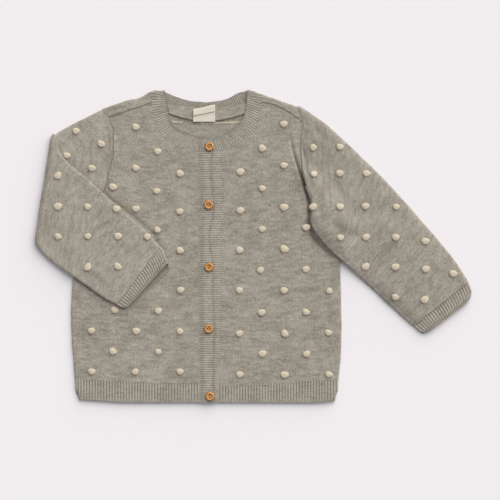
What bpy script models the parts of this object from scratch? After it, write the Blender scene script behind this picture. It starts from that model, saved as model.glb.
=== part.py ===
"""Baby cardigan: fine knit, ribbed edges, five wooden buttons, laid flat on its back.

The wearer's right sleeve is folded across the front and the left one lies down and outward.
Metres, +Z up. The origin is on the surface that the garment lies on, under the middle of the
body; +X runs to the wearer's left and +Y to the neck. Lengths below are in millimetres.
Run it with: blender --background --python part.py
"""

import math
from collections import namedtuple

import bmesh
import bpy
from mathutils import Vector

MM = 0.001

# Walls and layers
KNIT_WALL = 1.5
RIB_WALL = 1.7
TAPE_WALL = 1.0
SEAM_GAP = 0.3
LAYER_STEP = 2.45
LAP_CLEARANCE = 0.35
BACK_Z = KNIT_WALL / 2
FRONT_Z = BACK_Z + LAYER_STEP
RIB_BACK_Z = RIB_WALL / 2
LAP_Z = FRONT_Z + RIB_WALL + LAP_CLEARANCE
TAPE_Z = RIB_WALL + SEAM_GAP + TAPE_WALL / 2
LABEL_Z = TAPE_Z + TAPE_WALL + SEAM_GAP
LABEL_FLAP_Z = LABEL_Z + TAPE_WALL + SEAM_GAP

# Halvings of a search along a curve
HALVINGS = 40

# Rounded edges, where one layer turns into the other
ROLL_RADIUS = 0.9
ROLL_STEPS = 3
FOLD_STEPS = 6
EDGE_STEPS = 4
EDGE_INSET = 2.0

# Grid of a panel: the corner row joins the underarm and the foot of the neck seam
CORNER_ROW = 7
CORNER_ROLLS = {6: 0.75, 7: 0.4}
NECK_ROWS = 8
PANEL_COLUMNS = 6

# The sleeve that is folded over turns about this line and height
TURN_TOP = Vector((-162.9, 118.5))
TURN_FOOT = Vector((-181.3, 1.2))
TURN_Z = FRONT_Z + 0.95
SAG_START = 0.6

# The other sleeve lies on the side of the body, one layer up
OVER_BODY_CLEARANCE = 0.4
OVER_BODY_LOFT = 2.0
OVER_BODY_LOW_Z = FRONT_Z + KNIT_WALL + OVER_BODY_CLEARANCE
OVER_BODY_HIGH_Z = OVER_BODY_LOW_Z + OVER_BODY_LOFT
LOW_LAYER_SLOPE = (4.5, 14.0)
HIGH_LAYER_SLOPE = (5.0, 26.0)

# Colours are linear
KNIT_GREY = (0.342, 0.302, 0.245)
RIB_GREY = (0.300, 0.264, 0.214)
TAPE_GREY = (0.356, 0.330, 0.278)
LABEL_CREAM = (0.665, 0.617, 0.515)
BUTTON_WOOD = (0.470, 0.230, 0.085)

# Outline of the body, from the hem seam to the underarm, for each side
Edge = namedtuple("Edge", "name x y")
SIDE_EDGE = {
    -1: [Edge("hem seam", -141.0, -144.0), Edge("hip", -143.1, -115.0),
         Edge("waist", -145.2, -79.0), Edge("chest", -143.3, -38.0),
         Edge("underarm", -138.5, 26.0)],
    1: [Edge("hem seam", 140.3, -144.0), Edge("hip", 143.1, -115.0),
        Edge("waist", 143.6, -85.0), Edge("chest", 143.0, -38.0),
        Edge("underarm", 140.5, 26.0)],
}

# Armhole seam, from the underarm to the shoulder fold
ARMHOLE = {
    -1: [Edge("underarm", -138.5, 26.0), Edge("curve", -128.0, 34.6),
         Edge("curve", -117.6, 46.0), Edge("low", -109.5, 61.0),
         Edge("side", -104.2, 78.0), Edge("side", -100.8, 95.0),
         Edge("side", -99.2, 112.0), Edge("high", -100.8, 126.0),
         Edge("shoulder seam", -104.5, 137.3), Edge("shoulder fold", -110.6, 146.4)],
    1: [Edge("underarm", 140.5, 26.0), Edge("curve", 128.4, 37.0),
        Edge("curve", 116.8, 49.2), Edge("low", 106.6, 62.3),
        Edge("side", 102.6, 76.5), Edge("side", 100.4, 90.5),
        Edge("side", 99.7, 105.0), Edge("high", 100.6, 119.0),
        Edge("shoulder seam", 102.4, 131.6), Edge("shoulder fold", 98.0, 149.5)],
}
LOW_STATION = 3
SEAM_STATION = 8
SHOULDER_SEAM_BOW = {-1: 0.0, 1: 4.4}

# Neckband, as pairs of points across it: its free edge and its seam
Band = namedtuple("Band", "name free_x free_y seam_x seam_y")
NECK_FRONT = {
    -1: [Band("lap end", 6.4, 114.8, 6.4, 101.7),
         Band("centre", -7.5, 116.8, -7.5, 101.7),
         Band("low", -18.2, 119.3, -21.0, 103.6),
         Band("lower side", -28.9, 123.2, -34.2, 108.3),
         Band("side", -36.6, 129.0, -46.4, 116.5),
         Band("upper side", -40.8, 138.0, -54.8, 130.5),
         Band("high", -42.3, 153.5, -58.4, 149.0)],
    1: [Band("under end", -1.0, 115.2, -1.0, 101.7),
        Band("centre", 6.0, 115.4, 6.0, 101.7),
        Band("low", 15.5, 117.9, 17.5, 102.9),
        Band("lower side", 25.5, 123.9, 31.2, 107.6),
        Band("side", 34.4, 131.2, 44.0, 116.0),
        Band("upper side", 40.4, 141.2, 54.6, 131.5),
        Band("high", 42.6, 154.5, 58.5, 149.0)],
}
NECK_FOLD = {
    -1: Band("shoulder fold", -45.2, 166.6, -60.0, 164.4),
    1: Band("shoulder fold", 43.9, 167.8, 60.6, 161.6),
}
NECK_BACK = {
    -1: [Band("centre", 0.0, 153.5, 0.0, 137.5),
         Band("middle", -18.2, 155.0, -23.5, 139.9),
         Band("side", -34.2, 159.8, -44.9, 147.0)],
    1: [Band("centre", 0.0, 153.5, 0.0, 137.5),
        Band("middle", 18.6, 156.2, 23.5, 139.9),
        Band("side", 34.2, 162.8, 44.9, 147.4)],
}
BAND_FOLD_RADIUS = (FRONT_Z - RIB_BACK_Z) / 2
BAND_COLUMNS = 3

# Height at which the forward shoulder seam meets the neckband
SHOULDER_SEAM_START = {-1: 153.2, 1: 153.2}

# Seam between the fronts and the hem rib, and the rib's lower edge
Height = namedtuple("Height", "x y")
HEM_SEAM = [Height(-140.0, -141.5), Height(-104.0, -144.0), Height(-60.0, -146.4),
            Height(-9.0, -147.0), Height(14.0, -150.4), Height(57.0, -149.0),
            Height(100.0, -145.6), Height(140.0, -142.6)]
HEM_EDGE = [Height(-136.0, -163.8), Height(-123.0, -164.4), Height(-106.0, -165.9),
            Height(-90.0, -166.9), Height(0.0, -166.9), Height(124.0, -167.2),
            Height(136.5, -165.2)]
HEM_SIDE = {
    -1: [Edge("seam", -141.0, -142.0), Edge("middle", -140.3, -154.0),
         Edge("corner", -136.4, -164.2)],
    1: [Edge("seam", 140.3, -142.0), Edge("middle", 139.6, -154.0),
        Edge("corner", 136.4, -165.2)],
}
HEM_SEAM_BACK_Y = -146.5
HEM_EDGE_Y = -166.9
NECK_FOOT_Y = 101.7
HEM_ROWS = 3

# Front bands: the upper one laps over the under one and its free edge waves
Lap = namedtuple("Lap", "y edge_x")
LAP_EDGE = [Lap(104.0, 6.4), Lap(85.0, 4.4), Lap(64.0, 6.2), Lap(44.0, 8.2), Lap(26.0, 5.0),
            Lap(9.0, 2.6), Lap(-7.0, 5.0), Lap(-22.0, 7.6), Lap(-42.0, 6.4), Lap(-65.0, 7.4),
            Lap(-88.0, 8.8), Lap(-111.0, 7.5), Lap(-170.0, 7.5)]
UPPER_BAND_SEAM = (Edge("neck", -10.6, 101.8), Edge("hem", -8.0, -166.9))
UNDER_BAND_SEAM = (Edge("neck", 16.6, 101.8), Edge("hem", 13.4, -166.9))
UNDER_BAND_EDGE = -1.0
LAP_RISE_START = 1.0
LAP_TOP_X = -2.6
BAND_ROWS = 18

# Stations along the sleeves: the overarm edge and the underarm edge of each, as they lie.
# "curve" is how much of the armhole's curve the ring keeps; "lag" and "tuck" move the layer
# beneath the folded sleeve along it and inward; "sag" lets its free edge down.
Ring = namedtuple("Ring", "name over_x over_y under_x under_y curve")
Turned = namedtuple("Turned", "name over_x over_y under_x under_y lag tuck sag")
RIGHT_SLEEVE = [Ring("upper arm", -136.2, 134.2, -159.5, 12.6, 0.45)]
RIGHT_SLEEVE_TURNED = [
    Turned("elbow", -154.0, 96.0, -168.0, -14.9, 0.0, 1.5, 1.6),
    Turned("forearm", -125.4, 70.6, -148.7, -28.7, 0.0, 1.5, 0.0),
    Turned("lower arm", -93.1, 41.0, -125.2, -45.3, 0.0, 1.5, 0.0),
    Turned("wrist", -68.5, 20.3, -109.1, -56.6, 0.0, 1.5, 0.0),
    Turned("cuff seam", -48.9, -0.5, -96.0, -63.5, 0.4, 1.5, 0.0),
]
RIGHT_CUFF_TURNED = [
    Turned("cuff seam", -48.9, -0.5, -96.0, -63.5, 0.4, 1.5, 0.0),
    Turned("cuff middle", -44.9, -9.0, -91.0, -65.6, 4.0, 3.2, 0.0),
    Turned("cuff end", -41.7, -17.4, -86.6, -67.2, 6.5, 4.2, 0.0),
]
LEFT_SLEEVE = [
    Ring("shoulder", 113.0, 140.2, 111.9, 46.3, 0.7),
    Ring("upper arm", 130.4, 127.3, 111.9, 23.3, 0.35),
    Ring("underarm fold", 147.9, 111.6, 122.5, 5.5, 0.1),
    Ring("over the side", 164.1, 96.1, 134.5, -7.6, 0.0),
    Ring("side of the body", 179.4, 81.3, 146.0, -17.6, 0.0),
    Ring("elbow", 194.2, 66.1, 158.5, -28.6, 0.0),
    Ring("forearm", 212.8, 45.8, 175.0, -44.0, 0.0),
    Ring("lower arm", 232.6, 23.1, 191.7, -59.8, 0.0),
    Ring("wrist", 252.7, -0.4, 207.0, -74.0, 0.0),
    Ring("cuff approach", 267.2, -19.1, 214.2, -80.4, 0.0),
    Ring("cuff seam", 279.2, -37.9, 220.2, -85.5, 0.0),
]
LEFT_CUFF = [
    Ring("cuff seam", 279.4, -38.4, 220.6, -85.8, 0.0),
    Ring("cuff middle", 283.0, -47.6, 225.6, -90.4, 0.0),
    Ring("cuff end", 282.4, -57.2, 232.6, -95.4, 0.0),
]
RING_SPANS = 9
ROOT_STEPS_NEAR_FOLD = (9.3, 4.6, 3.2)
LAST_DRAPED_SPAN = 0.96
UNDERARM_NORMAL = {-1: Vector((0.53, -0.85)), 1: Vector((-0.90, -0.44))}
UNDERARM_START = {-1: Vector((-1.3, 2.4))}
OVERARM_START = {-1: Vector((-0.3, 0.1)), 1: Vector((0.6, 0.1))}

# Straight end of a tube beside a seam
SEAM_COLLAR = 1.5
CUFF_GAP = 0.55

# Back neck tape and label
TAPE_HALF_WIDTHS = (39.6, 40.3, 41.0)
TAPE_TOP = (152.3, 148.4)
TAPE_FOOT = (141.4, 133.4)
TAPE_COLUMNS = 12
LABEL_LEFT = -14.6
LABEL_RIGHT = 8.8
LABEL_FOOT = 132.8
LABEL_TOP = 147.6
LABEL_FLAP = 6.0
LABEL_SLANT = 0.20

# Buttons
Button = namedtuple("Button", "name x y turn")
BUTTONS = [Button("button_1", 2.7, 106.2, 25.0), Button("button_2", 1.8, 43.9, -10.0),
           Button("button_3", 2.4, -22.5, 55.0), Button("button_4", 1.8, -88.3, 5.0),
           Button("button_5", 3.3, -160.3, 80.0)]
BUTTON_RADIUS = 5.0
BUTTON_HEIGHT = 2.6
BUTTON_DISH = 1.0
BUTTON_RIM = 1.5
BUTTON_DISH_FLANK = 0.6
BUTTON_CROWN = 0.6
BUTTON_CROWN_DROP = 0.1
BUTTON_EDGE_DROP = 0.8
BUTTON_FOOT_INSET = 0.9
BUTTON_SIDES = 20
HOLE_RADIUS = 0.65
HOLE_SPACING = 2.5


def flat(row):
    """The x and y of a row of a table, as a vector."""
    return Vector((row.x, row.y))


def lerp(start, end, share):
    return start + (end - start) * share


def smooth_step(value, low, high):
    """0 below low, 1 above high and a soft rise between them."""
    share = min(max((value - low) / (high - low), 0.0), 1.0)
    return share * share * (3.0 - 2.0 * share)


def through(points):
    """A smooth curve through points, as a function of 0..1."""
    stops = [0.0]
    for before, after in zip(points, points[1:]):
        stops.append(stops[-1] + (after - before).length)
    stops = [stop / stops[-1] for stop in stops]
    last = len(points) - 1
    slopes = []
    for k in range(len(points)):
        low, high = max(k - 1, 0), min(k + 1, last)
        slopes.append((points[high] - points[low]) / (stops[high] - stops[low]))

    def curve(share):
        k = max(i for i in range(last) if stops[i] <= max(share, 0.0))
        span = stops[k + 1] - stops[k]
        s = (share - stops[k]) / span
        leaving = points[k] * (2 * s**3 - 3 * s**2 + 1) + slopes[k] * span * (s**3 - 2 * s**2 + s)
        arriving = points[k + 1] * (3 * s**2 - 2 * s**3) + slopes[k + 1] * span * (s**3 - s**2)
        return leaving + arriving

    return curve


def moved_beside(points, distance):
    """A chain of points moved sideways, to the left of its own direction."""
    moved = []
    for k, point in enumerate(points):
        before = points[max(k - 1, 0)]
        after = points[min(k + 1, len(points) - 1)]
        normals = []
        for start, end in ((before, point), (point, after)):
            if start != end:
                along = (end - start).normalized()
                normals.append(Vector((-along.y, along.x)))
        middle = (normals[0] + normals[-1]).normalized()
        moved.append(point + middle * distance / middle.dot(normals[0]))
    return moved


def share_where(measure, target):
    """The share at which a measure that falls or rises steadily meets its target."""
    low, high = 0.0, 1.0
    rising = measure(1.0) > measure(0.0)
    for _ in range(HALVINGS):
        middle = (low + high) / 2
        if (measure(middle) < target) == rising:
            low = middle
        else:
            high = middle
    return low


def height_at(rows, x):
    """A value read from a short table of x and y, straight between its rows."""
    for before, after in zip(rows, rows[1:]):
        if x <= after[0]:
            break
    share = (x - before[0]) / (after[0] - before[0])
    return lerp(before[1], after[1], min(max(share, 0.0), 1.0))


def lay_net(mesh, rows):
    """Add a grid to the mesh and put its crossings at the rows' points."""
    columns = len(rows[0]) - 1
    lines = len(rows) - 1
    grid = bmesh.ops.create_grid(mesh, x_segments=columns, y_segments=lines, size=1.0)
    for vert in grid["verts"]:
        column = round((vert.co.x + 1.0) / 2.0 * columns)
        line = round((vert.co.y + 1.0) / 2.0 * lines)
        vert.co = Vector(rows[line][column]) * MM


def dress(thing, colour, roughness):
    """Give the object its own material."""
    material = bpy.data.materials.new(thing.name)
    material.use_nodes = True
    shader = material.node_tree.nodes["Principled BSDF"]
    shader.inputs["Base Color"].default_value = (*colour, 1.0)
    shader.inputs["Roughness"].default_value = roughness
    shader.inputs["Metallic"].default_value = 0.0
    thing.data.materials.append(material)


def make_cloth(name, nets, wall, colour):
    """Weld nets of points into one sheet and give it its wall."""
    mesh = bmesh.new()
    for rows in nets:
        lay_net(mesh, rows)
    bmesh.ops.remove_doubles(mesh, verts=mesh.verts, dist=0.00001)
    bmesh.ops.recalc_face_normals(mesh, faces=mesh.faces)
    data = bpy.data.meshes.new(name)
    mesh.to_mesh(data)
    mesh.free()
    data.shade_smooth()
    cloth = bpy.data.objects.new(name, data)
    parts.objects.link(cloth)
    solidify = cloth.modifiers.new("Wall", "SOLIDIFY")
    solidify.thickness = wall * MM
    solidify.offset = 0.0
    dress(cloth, colour, 0.95)
    return cloth


def side_chain(side):
    """The body's outline from the hem seam to the underarm, one point a row."""
    outline = through([flat(row) for row in SIDE_EDGE[side]])
    return [outline(row / CORNER_ROW) for row in range(CORNER_ROW + 1)]


def shoulder_outward(side):
    """The direction that the shoulder fold faces."""
    neck = NECK_FOLD[side]
    along = (flat(ARMHOLE[side][-1]) - Vector((neck.seam_x, neck.seam_y))).normalized()
    return Vector((-along.y, along.x)) * side


def armhole_chain(side):
    """The armhole seam from the underarm to where the shoulder starts to fold."""
    chain = [flat(row) for row in ARMHOLE[side]]
    chain[-1] = chain[-1] - shoulder_outward(side) * (LAYER_STEP + KNIT_WALL) / 2
    return chain


def outer_rows(side, inset, last_station):
    """The outer ends of a panel's rows, moved in from the outline and the armhole."""
    rows = moved_beside(side_chain(side), side * inset)
    armhole = moved_beside(armhole_chain(side), side * inset)
    return rows + armhole[1:last_station + 1]


def roll_profile(flat_z, other_z):
    """Reach and height across an edge that rolls to the middle between two layers."""
    profile = []
    toward = math.copysign(1.0, other_z - flat_z)
    for k in range(1, ROLL_STEPS + 1):
        turn = math.pi / 2 * k / ROLL_STEPS
        drop = ROLL_RADIUS * (1.0 - math.cos(turn))
        profile.append((ROLL_RADIUS * math.sin(turn), flat_z + toward * drop))
    profile.append((ROLL_RADIUS, (flat_z + other_z - toward * SEAM_GAP) / 2))
    return profile


def panel_rows(side, inner, last_station, flat_z, other_z, foot_y):
    """Rows of a panel: flat to near its outer edge, then rolled, or flat to the armhole."""
    profile = roll_profile(flat_z, other_z)
    inset = ROLL_RADIUS + KNIT_WALL / 2
    ends = outer_rows(side, inset, last_station)
    rims = []
    for k, (reach, level) in enumerate(profile):
        rolled = outer_rows(side, inset - reach, last_station)
        share = (k + 1) / len(profile)
        to_seam = outer_rows(side, lerp(inset, SEAM_GAP / 2, share), last_station)
        rims.append((rolled, to_seam, level))
    rows = []
    for row, (start, end) in enumerate(zip(inner, ends)):
        line = []
        for column in range(PANEL_COLUMNS + 1):
            spot = lerp(start, end, column / PANEL_COLUMNS)
            line.append((spot.x, spot.y, flat_z))
        for rolled, to_seam, level in rims:
            amount = CORNER_ROLLS.get(row, 1.0 if row < CORNER_ROW else 0.0)
            spot = rolled[row] if row < CORNER_ROW else lerp(to_seam[row], rolled[row], amount)
            line.append((spot.x, spot.y, lerp(flat_z, level, amount)))
        rows.append(line)
    rows[0] = [(x, foot_y(x) + SEAM_GAP / 2, z) for x, y, z in rows[0]]
    return rows


def fold_line(side):
    """The neckband's fold at the shoulder, moved in so that its outside meets the outline."""
    row = NECK_FOLD[side]
    free = Vector((row.free_x, row.free_y))
    seam = Vector((row.seam_x, row.seam_y))
    along = (seam - free).normalized()
    outward = Vector((-along.y, along.x)) * side
    inset = outward * (BAND_FOLD_RADIUS + RIB_WALL / 2)
    return free - inset, seam - inset, outward


def neck_curve(side, rows):
    """The neckband's free edge and seam together, from the centre to the shoulder fold."""
    free, seam, _ = fold_line(side)
    points = [Vector(row[1:]) for row in rows[side]]
    points.append(Vector((free.x, free.y, seam.x, seam.y)))
    return through(points)


def seam_point(pair):
    return Vector((pair[2], pair[3]))


def neck_shares(side, band_x):
    """Shares along the front neck curve of the panel's rows, from its band to the shoulder."""
    curve = neck_curve(side, NECK_FRONT)
    start = share_where(lambda share: curve(share)[2], band_x)
    end = share_where(lambda share: curve(share)[3], SHOULDER_SEAM_START[side])
    return [lerp(start, end, row / NECK_ROWS) for row in range(NECK_ROWS + 1)]


def back_neck_shares():
    count = NECK_ROWS + 1
    return [row / count for row in range(count + 1)]


def band_seam(rows, y):
    """Where the seam of a front band is at a height."""
    share = (rows[0].y - y) / (rows[0].y - rows[1].y)
    return lerp(rows[0].x, rows[1].x, share)


def hem_seam_y(x):
    return height_at(HEM_SEAM, x)


def shoulder_seam_y(side, x):
    """Height of the forward shoulder seam, from the neckband to the armhole."""
    curve = neck_curve(side, NECK_FRONT)
    share = share_where(lambda s: curve(s)[3], SHOULDER_SEAM_START[side])
    start = seam_point(curve(share))
    end = flat(ARMHOLE[side][SEAM_STATION])
    share = (x - start.x) / (end.x - start.x)
    return lerp(start.y, end.y, share) + SHOULDER_SEAM_BOW[side] * 4.0 * share * (1.0 - share)


def make_front(side, name, band_rows):
    """A front panel: band and neck seams inside, side and armhole outside."""
    curve = neck_curve(side, NECK_FRONT)
    shares = neck_shares(side, band_rows[0].x)
    neck = moved_beside([seam_point(curve(share)) for share in shares],
                        -side * SEAM_GAP / 2)
    neck[0].x = band_rows[0].x + side * SEAM_GAP / 2
    foot_x = band_seam(band_rows, hem_seam_y(0.0)) + side * SEAM_GAP / 2
    foot = Vector((foot_x, hem_seam_y(foot_x)))
    inner = [lerp(foot, neck[0], row / CORNER_ROW) for row in range(CORNER_ROW)] + neck
    rows = panel_rows(side, inner, SEAM_STATION, FRONT_Z, BACK_Z, hem_seam_y)
    rows[-1] = [(x, shoulder_seam_y(side, x) - SEAM_GAP / 2, z) for x, y, z in rows[-1]]
    return make_cloth(name, [rows], KNIT_WALL, KNIT_GREY)


def back_half(side):
    """Half of the back, and the strip of it that comes over the shoulder to the front."""
    curve = neck_curve(side, NECK_BACK)
    neck = moved_beside([seam_point(curve(share)) for share in back_neck_shares()],
                        -side * SEAM_GAP / 2)
    neck[0].x = 0.0
    foot = Vector((0.0, HEM_SEAM_BACK_Y))
    inner = [lerp(foot, neck[0], row / CORNER_ROW) for row in range(CORNER_ROW)] + neck
    rows = panel_rows(side, inner, SEAM_STATION + 1, BACK_Z, FRONT_Z,
                      lambda x: HEM_SEAM_BACK_Y)
    return rows, shoulder_strip(side, rows[-1])


def shoulder_strip(side, top_line):
    """From the top of the back, over the fold and down to the forward shoulder seam."""
    radius = LAYER_STEP / 2
    outward = shoulder_outward(side).to_3d()
    strip = [top_line]
    for k in range(1, FOLD_STEPS + 1):
        turn = math.pi * k / FOLD_STEPS
        shift = outward * radius * math.sin(turn)
        shift.z = radius * (1.0 - math.cos(turn))
        strip.append([tuple(Vector(point) + shift) for point in top_line])
    folded = strip[-1]
    seam = flat(ARMHOLE[side][SEAM_STATION])
    curve = neck_curve(side, NECK_FRONT)
    share = share_where(lambda s: curve(s)[3], SHOULDER_SEAM_START[side])
    start_x = seam_point(curve(share)).x + side * SEAM_GAP / 2
    end_x = seam.x - side * SEAM_GAP / 2
    width = folded[-1][0] - folded[0][0]
    for share_down in (0.5, 1.0):
        line = []
        for x, y, z in folded:
            foot_x = lerp(start_x, end_x, (x - folded[0][0]) / width)
            foot_y = shoulder_seam_y(side, foot_x) + SEAM_GAP / 2
            line.append((lerp(x, foot_x, share_down), lerp(y, foot_y, share_down), z))
        strip.append(line)
    return strip


def make_back(name):
    nets = []
    for side in (-1, 1):
        nets.extend(back_half(side))
    return make_cloth(name, nets, KNIT_WALL, KNIT_GREY)


def lap_columns(seam_x, free_x):
    """Columns across the upper band: flat at its seam, up to the lap, level to its edge."""
    start = seam_x + LAP_RISE_START
    return [seam_x, start, (start + LAP_TOP_X) / 2, LAP_TOP_X, (LAP_TOP_X + free_x) / 2, free_x]


def lap_height(x, seam_x):
    """The upper band climbs over the under one."""
    return lerp(FRONT_Z, LAP_Z, smooth_step(x, seam_x + LAP_RISE_START, LAP_TOP_X))


def under_columns(seam_x):
    return [lerp(UNDER_BAND_EDGE, seam_x, column / BAND_COLUMNS)
            for column in range(BAND_COLUMNS + 1)]


def front_band_shares(side):
    """Stations of the neckband at the front: over a front band, then beside the panel."""
    curve = neck_curve(side, NECK_FRONT)
    if side == -1:
        seam_x = UPPER_BAND_SEAM[0].x
        columns = list(reversed(lap_columns(seam_x, NECK_FRONT[-1][0].seam_x)))
    else:
        seam_x = UNDER_BAND_SEAM[0].x
        columns = under_columns(seam_x)
    shares = [share_where(lambda share: curve(share)[2], x) for x in columns[:-1]]
    return shares + neck_shares(side, seam_x) + [1.0]


def band_line(pair, turn, outward, side):
    """Points across the neckband at one station, turned about the shoulder fold."""
    free = Vector((pair[0], pair[1]))
    seam = seam_point(pair)
    seam = seam + (free - seam).normalized() * SEAM_GAP / 2
    line = []
    for k in range(BAND_COLUMNS + 1):
        spot = lerp(free, seam, k / BAND_COLUMNS)
        spot = spot + outward * BAND_FOLD_RADIUS * math.sin(turn)
        level = FRONT_Z
        if side == -1 and turn == 0.0:
            level = lap_height(pair[2], UPPER_BAND_SEAM[0].x)
        level -= BAND_FOLD_RADIUS * (1.0 - math.cos(turn))
        line.append((spot.x, spot.y, level))
    return line


def make_neckband(name):
    """One strip from the lap at the centre front, round the back and to the front again."""
    nets = []
    for side in (-1, 1):
        front = neck_curve(side, NECK_FRONT)
        back = neck_curve(side, NECK_BACK)
        _, _, outward = fold_line(side)
        half = [band_line(front(share), 0.0, outward, side) for share in front_band_shares(side)]
        for k in range(1, FOLD_STEPS):
            half.append(band_line(front(1.0), math.pi * k / FOLD_STEPS, outward, side))
        for share in reversed(back_neck_shares()):
            half.append(band_line(back(share), math.pi, outward, side))
        nets.append(half)
    return make_cloth(name, nets, RIB_WALL, RIB_GREY)


def band_rows(seam_rows, columns_at, level_at):
    """Rows of a front band from the hem's edge to the neckband."""
    rows = []
    for row in range(BAND_ROWS + 1):
        share = row / BAND_ROWS
        middle = lerp(HEM_EDGE_Y, seam_rows[0].y, share)
        seam_x = band_seam(seam_rows, middle)
        line = []
        for x in columns_at(seam_x, middle):
            y = lerp(HEM_EDGE_Y, NECK_FOOT_Y - SEAM_GAP / 2, share)
            line.append((x, y, level_at(x, seam_x)))
        rows.append(line)
    return rows


def make_upper_band(name):
    """The band on top, from its seam up over the under band to its waving free edge."""
    edge = through([Vector((row.y, row.edge_x)) for row in LAP_EDGE])

    def columns_at(seam_x, y):
        share = share_where(lambda s: edge(s).x, y)
        columns = lap_columns(seam_x, edge(share).y)
        return [seam_x + SEAM_GAP / 2] + columns[1:]

    rows = band_rows(UPPER_BAND_SEAM, columns_at, lap_height)
    return make_cloth(name, [rows], RIB_WALL, RIB_GREY)


def make_under_band(name):
    def columns_at(seam_x, _y):
        return under_columns(seam_x - SEAM_GAP / 2)

    rows = band_rows(UNDER_BAND_SEAM, columns_at, lambda x, seam_x: FRONT_Z)
    return make_cloth(name, [rows], RIB_WALL, RIB_GREY)


def hem_half(side, inner_x, seam_y, flat_z, other_z):
    """A stretch of hem rib from an inner edge to the rolled side."""
    outline = through([flat(row) for row in HEM_SIDE[side]])
    inset = ROLL_RADIUS + RIB_WALL / 2
    rows = []
    for row in range(HEM_ROWS + 1):
        share = row / HEM_ROWS
        outer = outline(1.0 - share)
        start_x = inner_x(outer.y)
        end_x = outer.x - side * inset
        points = [(lerp(start_x, end_x, column / PANEL_COLUMNS), flat_z)
                  for column in range(PANEL_COLUMNS + 1)]
        points += [(end_x + side * reach, level) for reach, level in roll_profile(flat_z, other_z)]
        line = []
        for x, z in points:
            foot = height_at(HEM_EDGE, x)
            line.append((x, lerp(foot, seam_y(x) - SEAM_GAP / 2, share), z))
        rows.append(line)
    return rows


def make_hem_front(side, name, seam_rows):
    def inner_x(y):
        return band_seam(seam_rows, y) + side * SEAM_GAP / 2

    rows = hem_half(side, inner_x, hem_seam_y, FRONT_Z, RIB_BACK_Z)
    return make_cloth(name, [rows], RIB_WALL, RIB_GREY)


def make_hem_back(name):
    nets = [hem_half(side, lambda y: 0.0, lambda x: HEM_SEAM_BACK_Y, RIB_BACK_Z, FRONT_Z)
            for side in (-1, 1)]
    return make_cloth(name, nets, RIB_WALL, RIB_GREY)


def edge_arc(centre, outward, low, high, rising):
    """Half a turn between two layers, at one edge of a flattened tube."""
    points = []
    for k in range(EDGE_STEPS + 1):
        turn = math.pi * k / EDGE_STEPS
        if not rising:
            turn = math.pi - turn
        spot = centre + outward * abs(high - low) / 2 * math.sin(turn)
        points.append((spot.x, spot.y, (low + high) / 2 - (high - low) / 2 * math.cos(turn)))
    return points


def ring_points(line, over_out, under_out, levels):
    """One ring of a flattened tube: overarm fold, front layer, underarm fold, back layer.

    line holds points from the overarm edge to the underarm edge, and levels(point) gives
    the heights of the back and front layers there.
    """
    ring = edge_arc(line[0], over_out, *levels(line[0]), True)
    for spot in line[1:-1]:
        ring.append((spot.x, spot.y, levels(spot)[1]))
    ring.extend(edge_arc(line[-1], under_out, *levels(line[-1]), False))
    for spot in reversed(line[1:-1]):
        ring.append((spot.x, spot.y, levels(spot)[0]))
    ring.append(ring[0])
    return ring


def even_spans():
    return [k / RING_SPANS for k in range(RING_SPANS + 1)]


def root_line(side):
    """The root of a sleeve just outside the armhole seam, from the overarm down."""
    outside = moved_beside(armhole_chain(side), -side * SEAM_GAP / 2)
    outside[-1] = outside[-1] + OVERARM_START[side]
    return list(reversed(outside))


def along_chain(chain, share):
    """The point at a share of a chain's length."""
    lengths = [(after - before).length for before, after in zip(chain, chain[1:])]
    rest = share * sum(lengths)
    for before, after, length in zip(chain, chain[1:], lengths):
        if rest <= length:
            break
        rest -= length
    return lerp(before, after, min(rest / length, 1.0))


def across_row(row, inset):
    """Both ends of a ring and the direction from its overarm to its underarm edge."""
    over = Vector((row.over_x, row.over_y))
    under = Vector((row.under_x, row.under_y))
    across = (under - over).normalized()
    return over + across * inset, under - across * inset, across


def sleeve_line(row, root, inset):
    """A function along a ring that keeps some of the armhole's curve."""
    start, end, across = across_row(row, inset)

    def line(share):
        bend = along_chain(root, share) - lerp(root[0], root[-1], share)
        return lerp(start, end, share) + bend * row.curve
    return line, across


def flat_levels(_point):
    return BACK_Z, FRONT_Z


def turned_ring(row, inset, onward=0.0):
    """A ring of the folded part of the right sleeve; its back is now on top."""
    start, end, across = across_row(row, inset)
    along = Vector((-across.y, across.x))
    start, end = start + along * onward, end + along * onward
    width = (end - start).length

    def levels(spot):
        share = (spot - start).length / width
        sag = row.sag * smooth_step(share, SAG_START, 1.0)
        return 2 * TURN_Z - BACK_Z - sag, 2 * TURN_Z - FRONT_Z - sag

    line = [lerp(start, end, share) for share in even_spans()]
    shifted = []
    for x, y, z in ring_points(line, -across, across, levels):
        beneath = smooth_step(2 * TURN_Z - BACK_Z - z, 0.0, LAYER_STEP)
        share = min((Vector((x, y)) - start).length / width, 1.0)
        move = (along * row.lag + across * row.tuck) * beneath * (1.0 - share)
        shifted.append((x + move.x, y + move.y, z))
    return shifted


def turn_rings():
    """Rings round the fold of the right sleeve: each layer bends about the turn line."""
    across = (TURN_FOOT - TURN_TOP).normalized()
    outward = Vector((across.y, -across.x))
    line = [lerp(TURN_TOP, TURN_FOOT, share) for share in even_spans()]
    start = ring_points(line, -across, across, flat_levels)
    rings = []
    for k in range(FOLD_STEPS + 1):
        turn = math.pi * k / FOLD_STEPS
        ring = []
        for x, y, z in start:
            radius = TURN_Z - z
            spot = Vector((x, y)) + outward * radius * math.sin(turn)
            ring.append((spot.x, spot.y, TURN_Z - radius * math.cos(turn)))
        rings.append(ring)
    return rings


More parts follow.
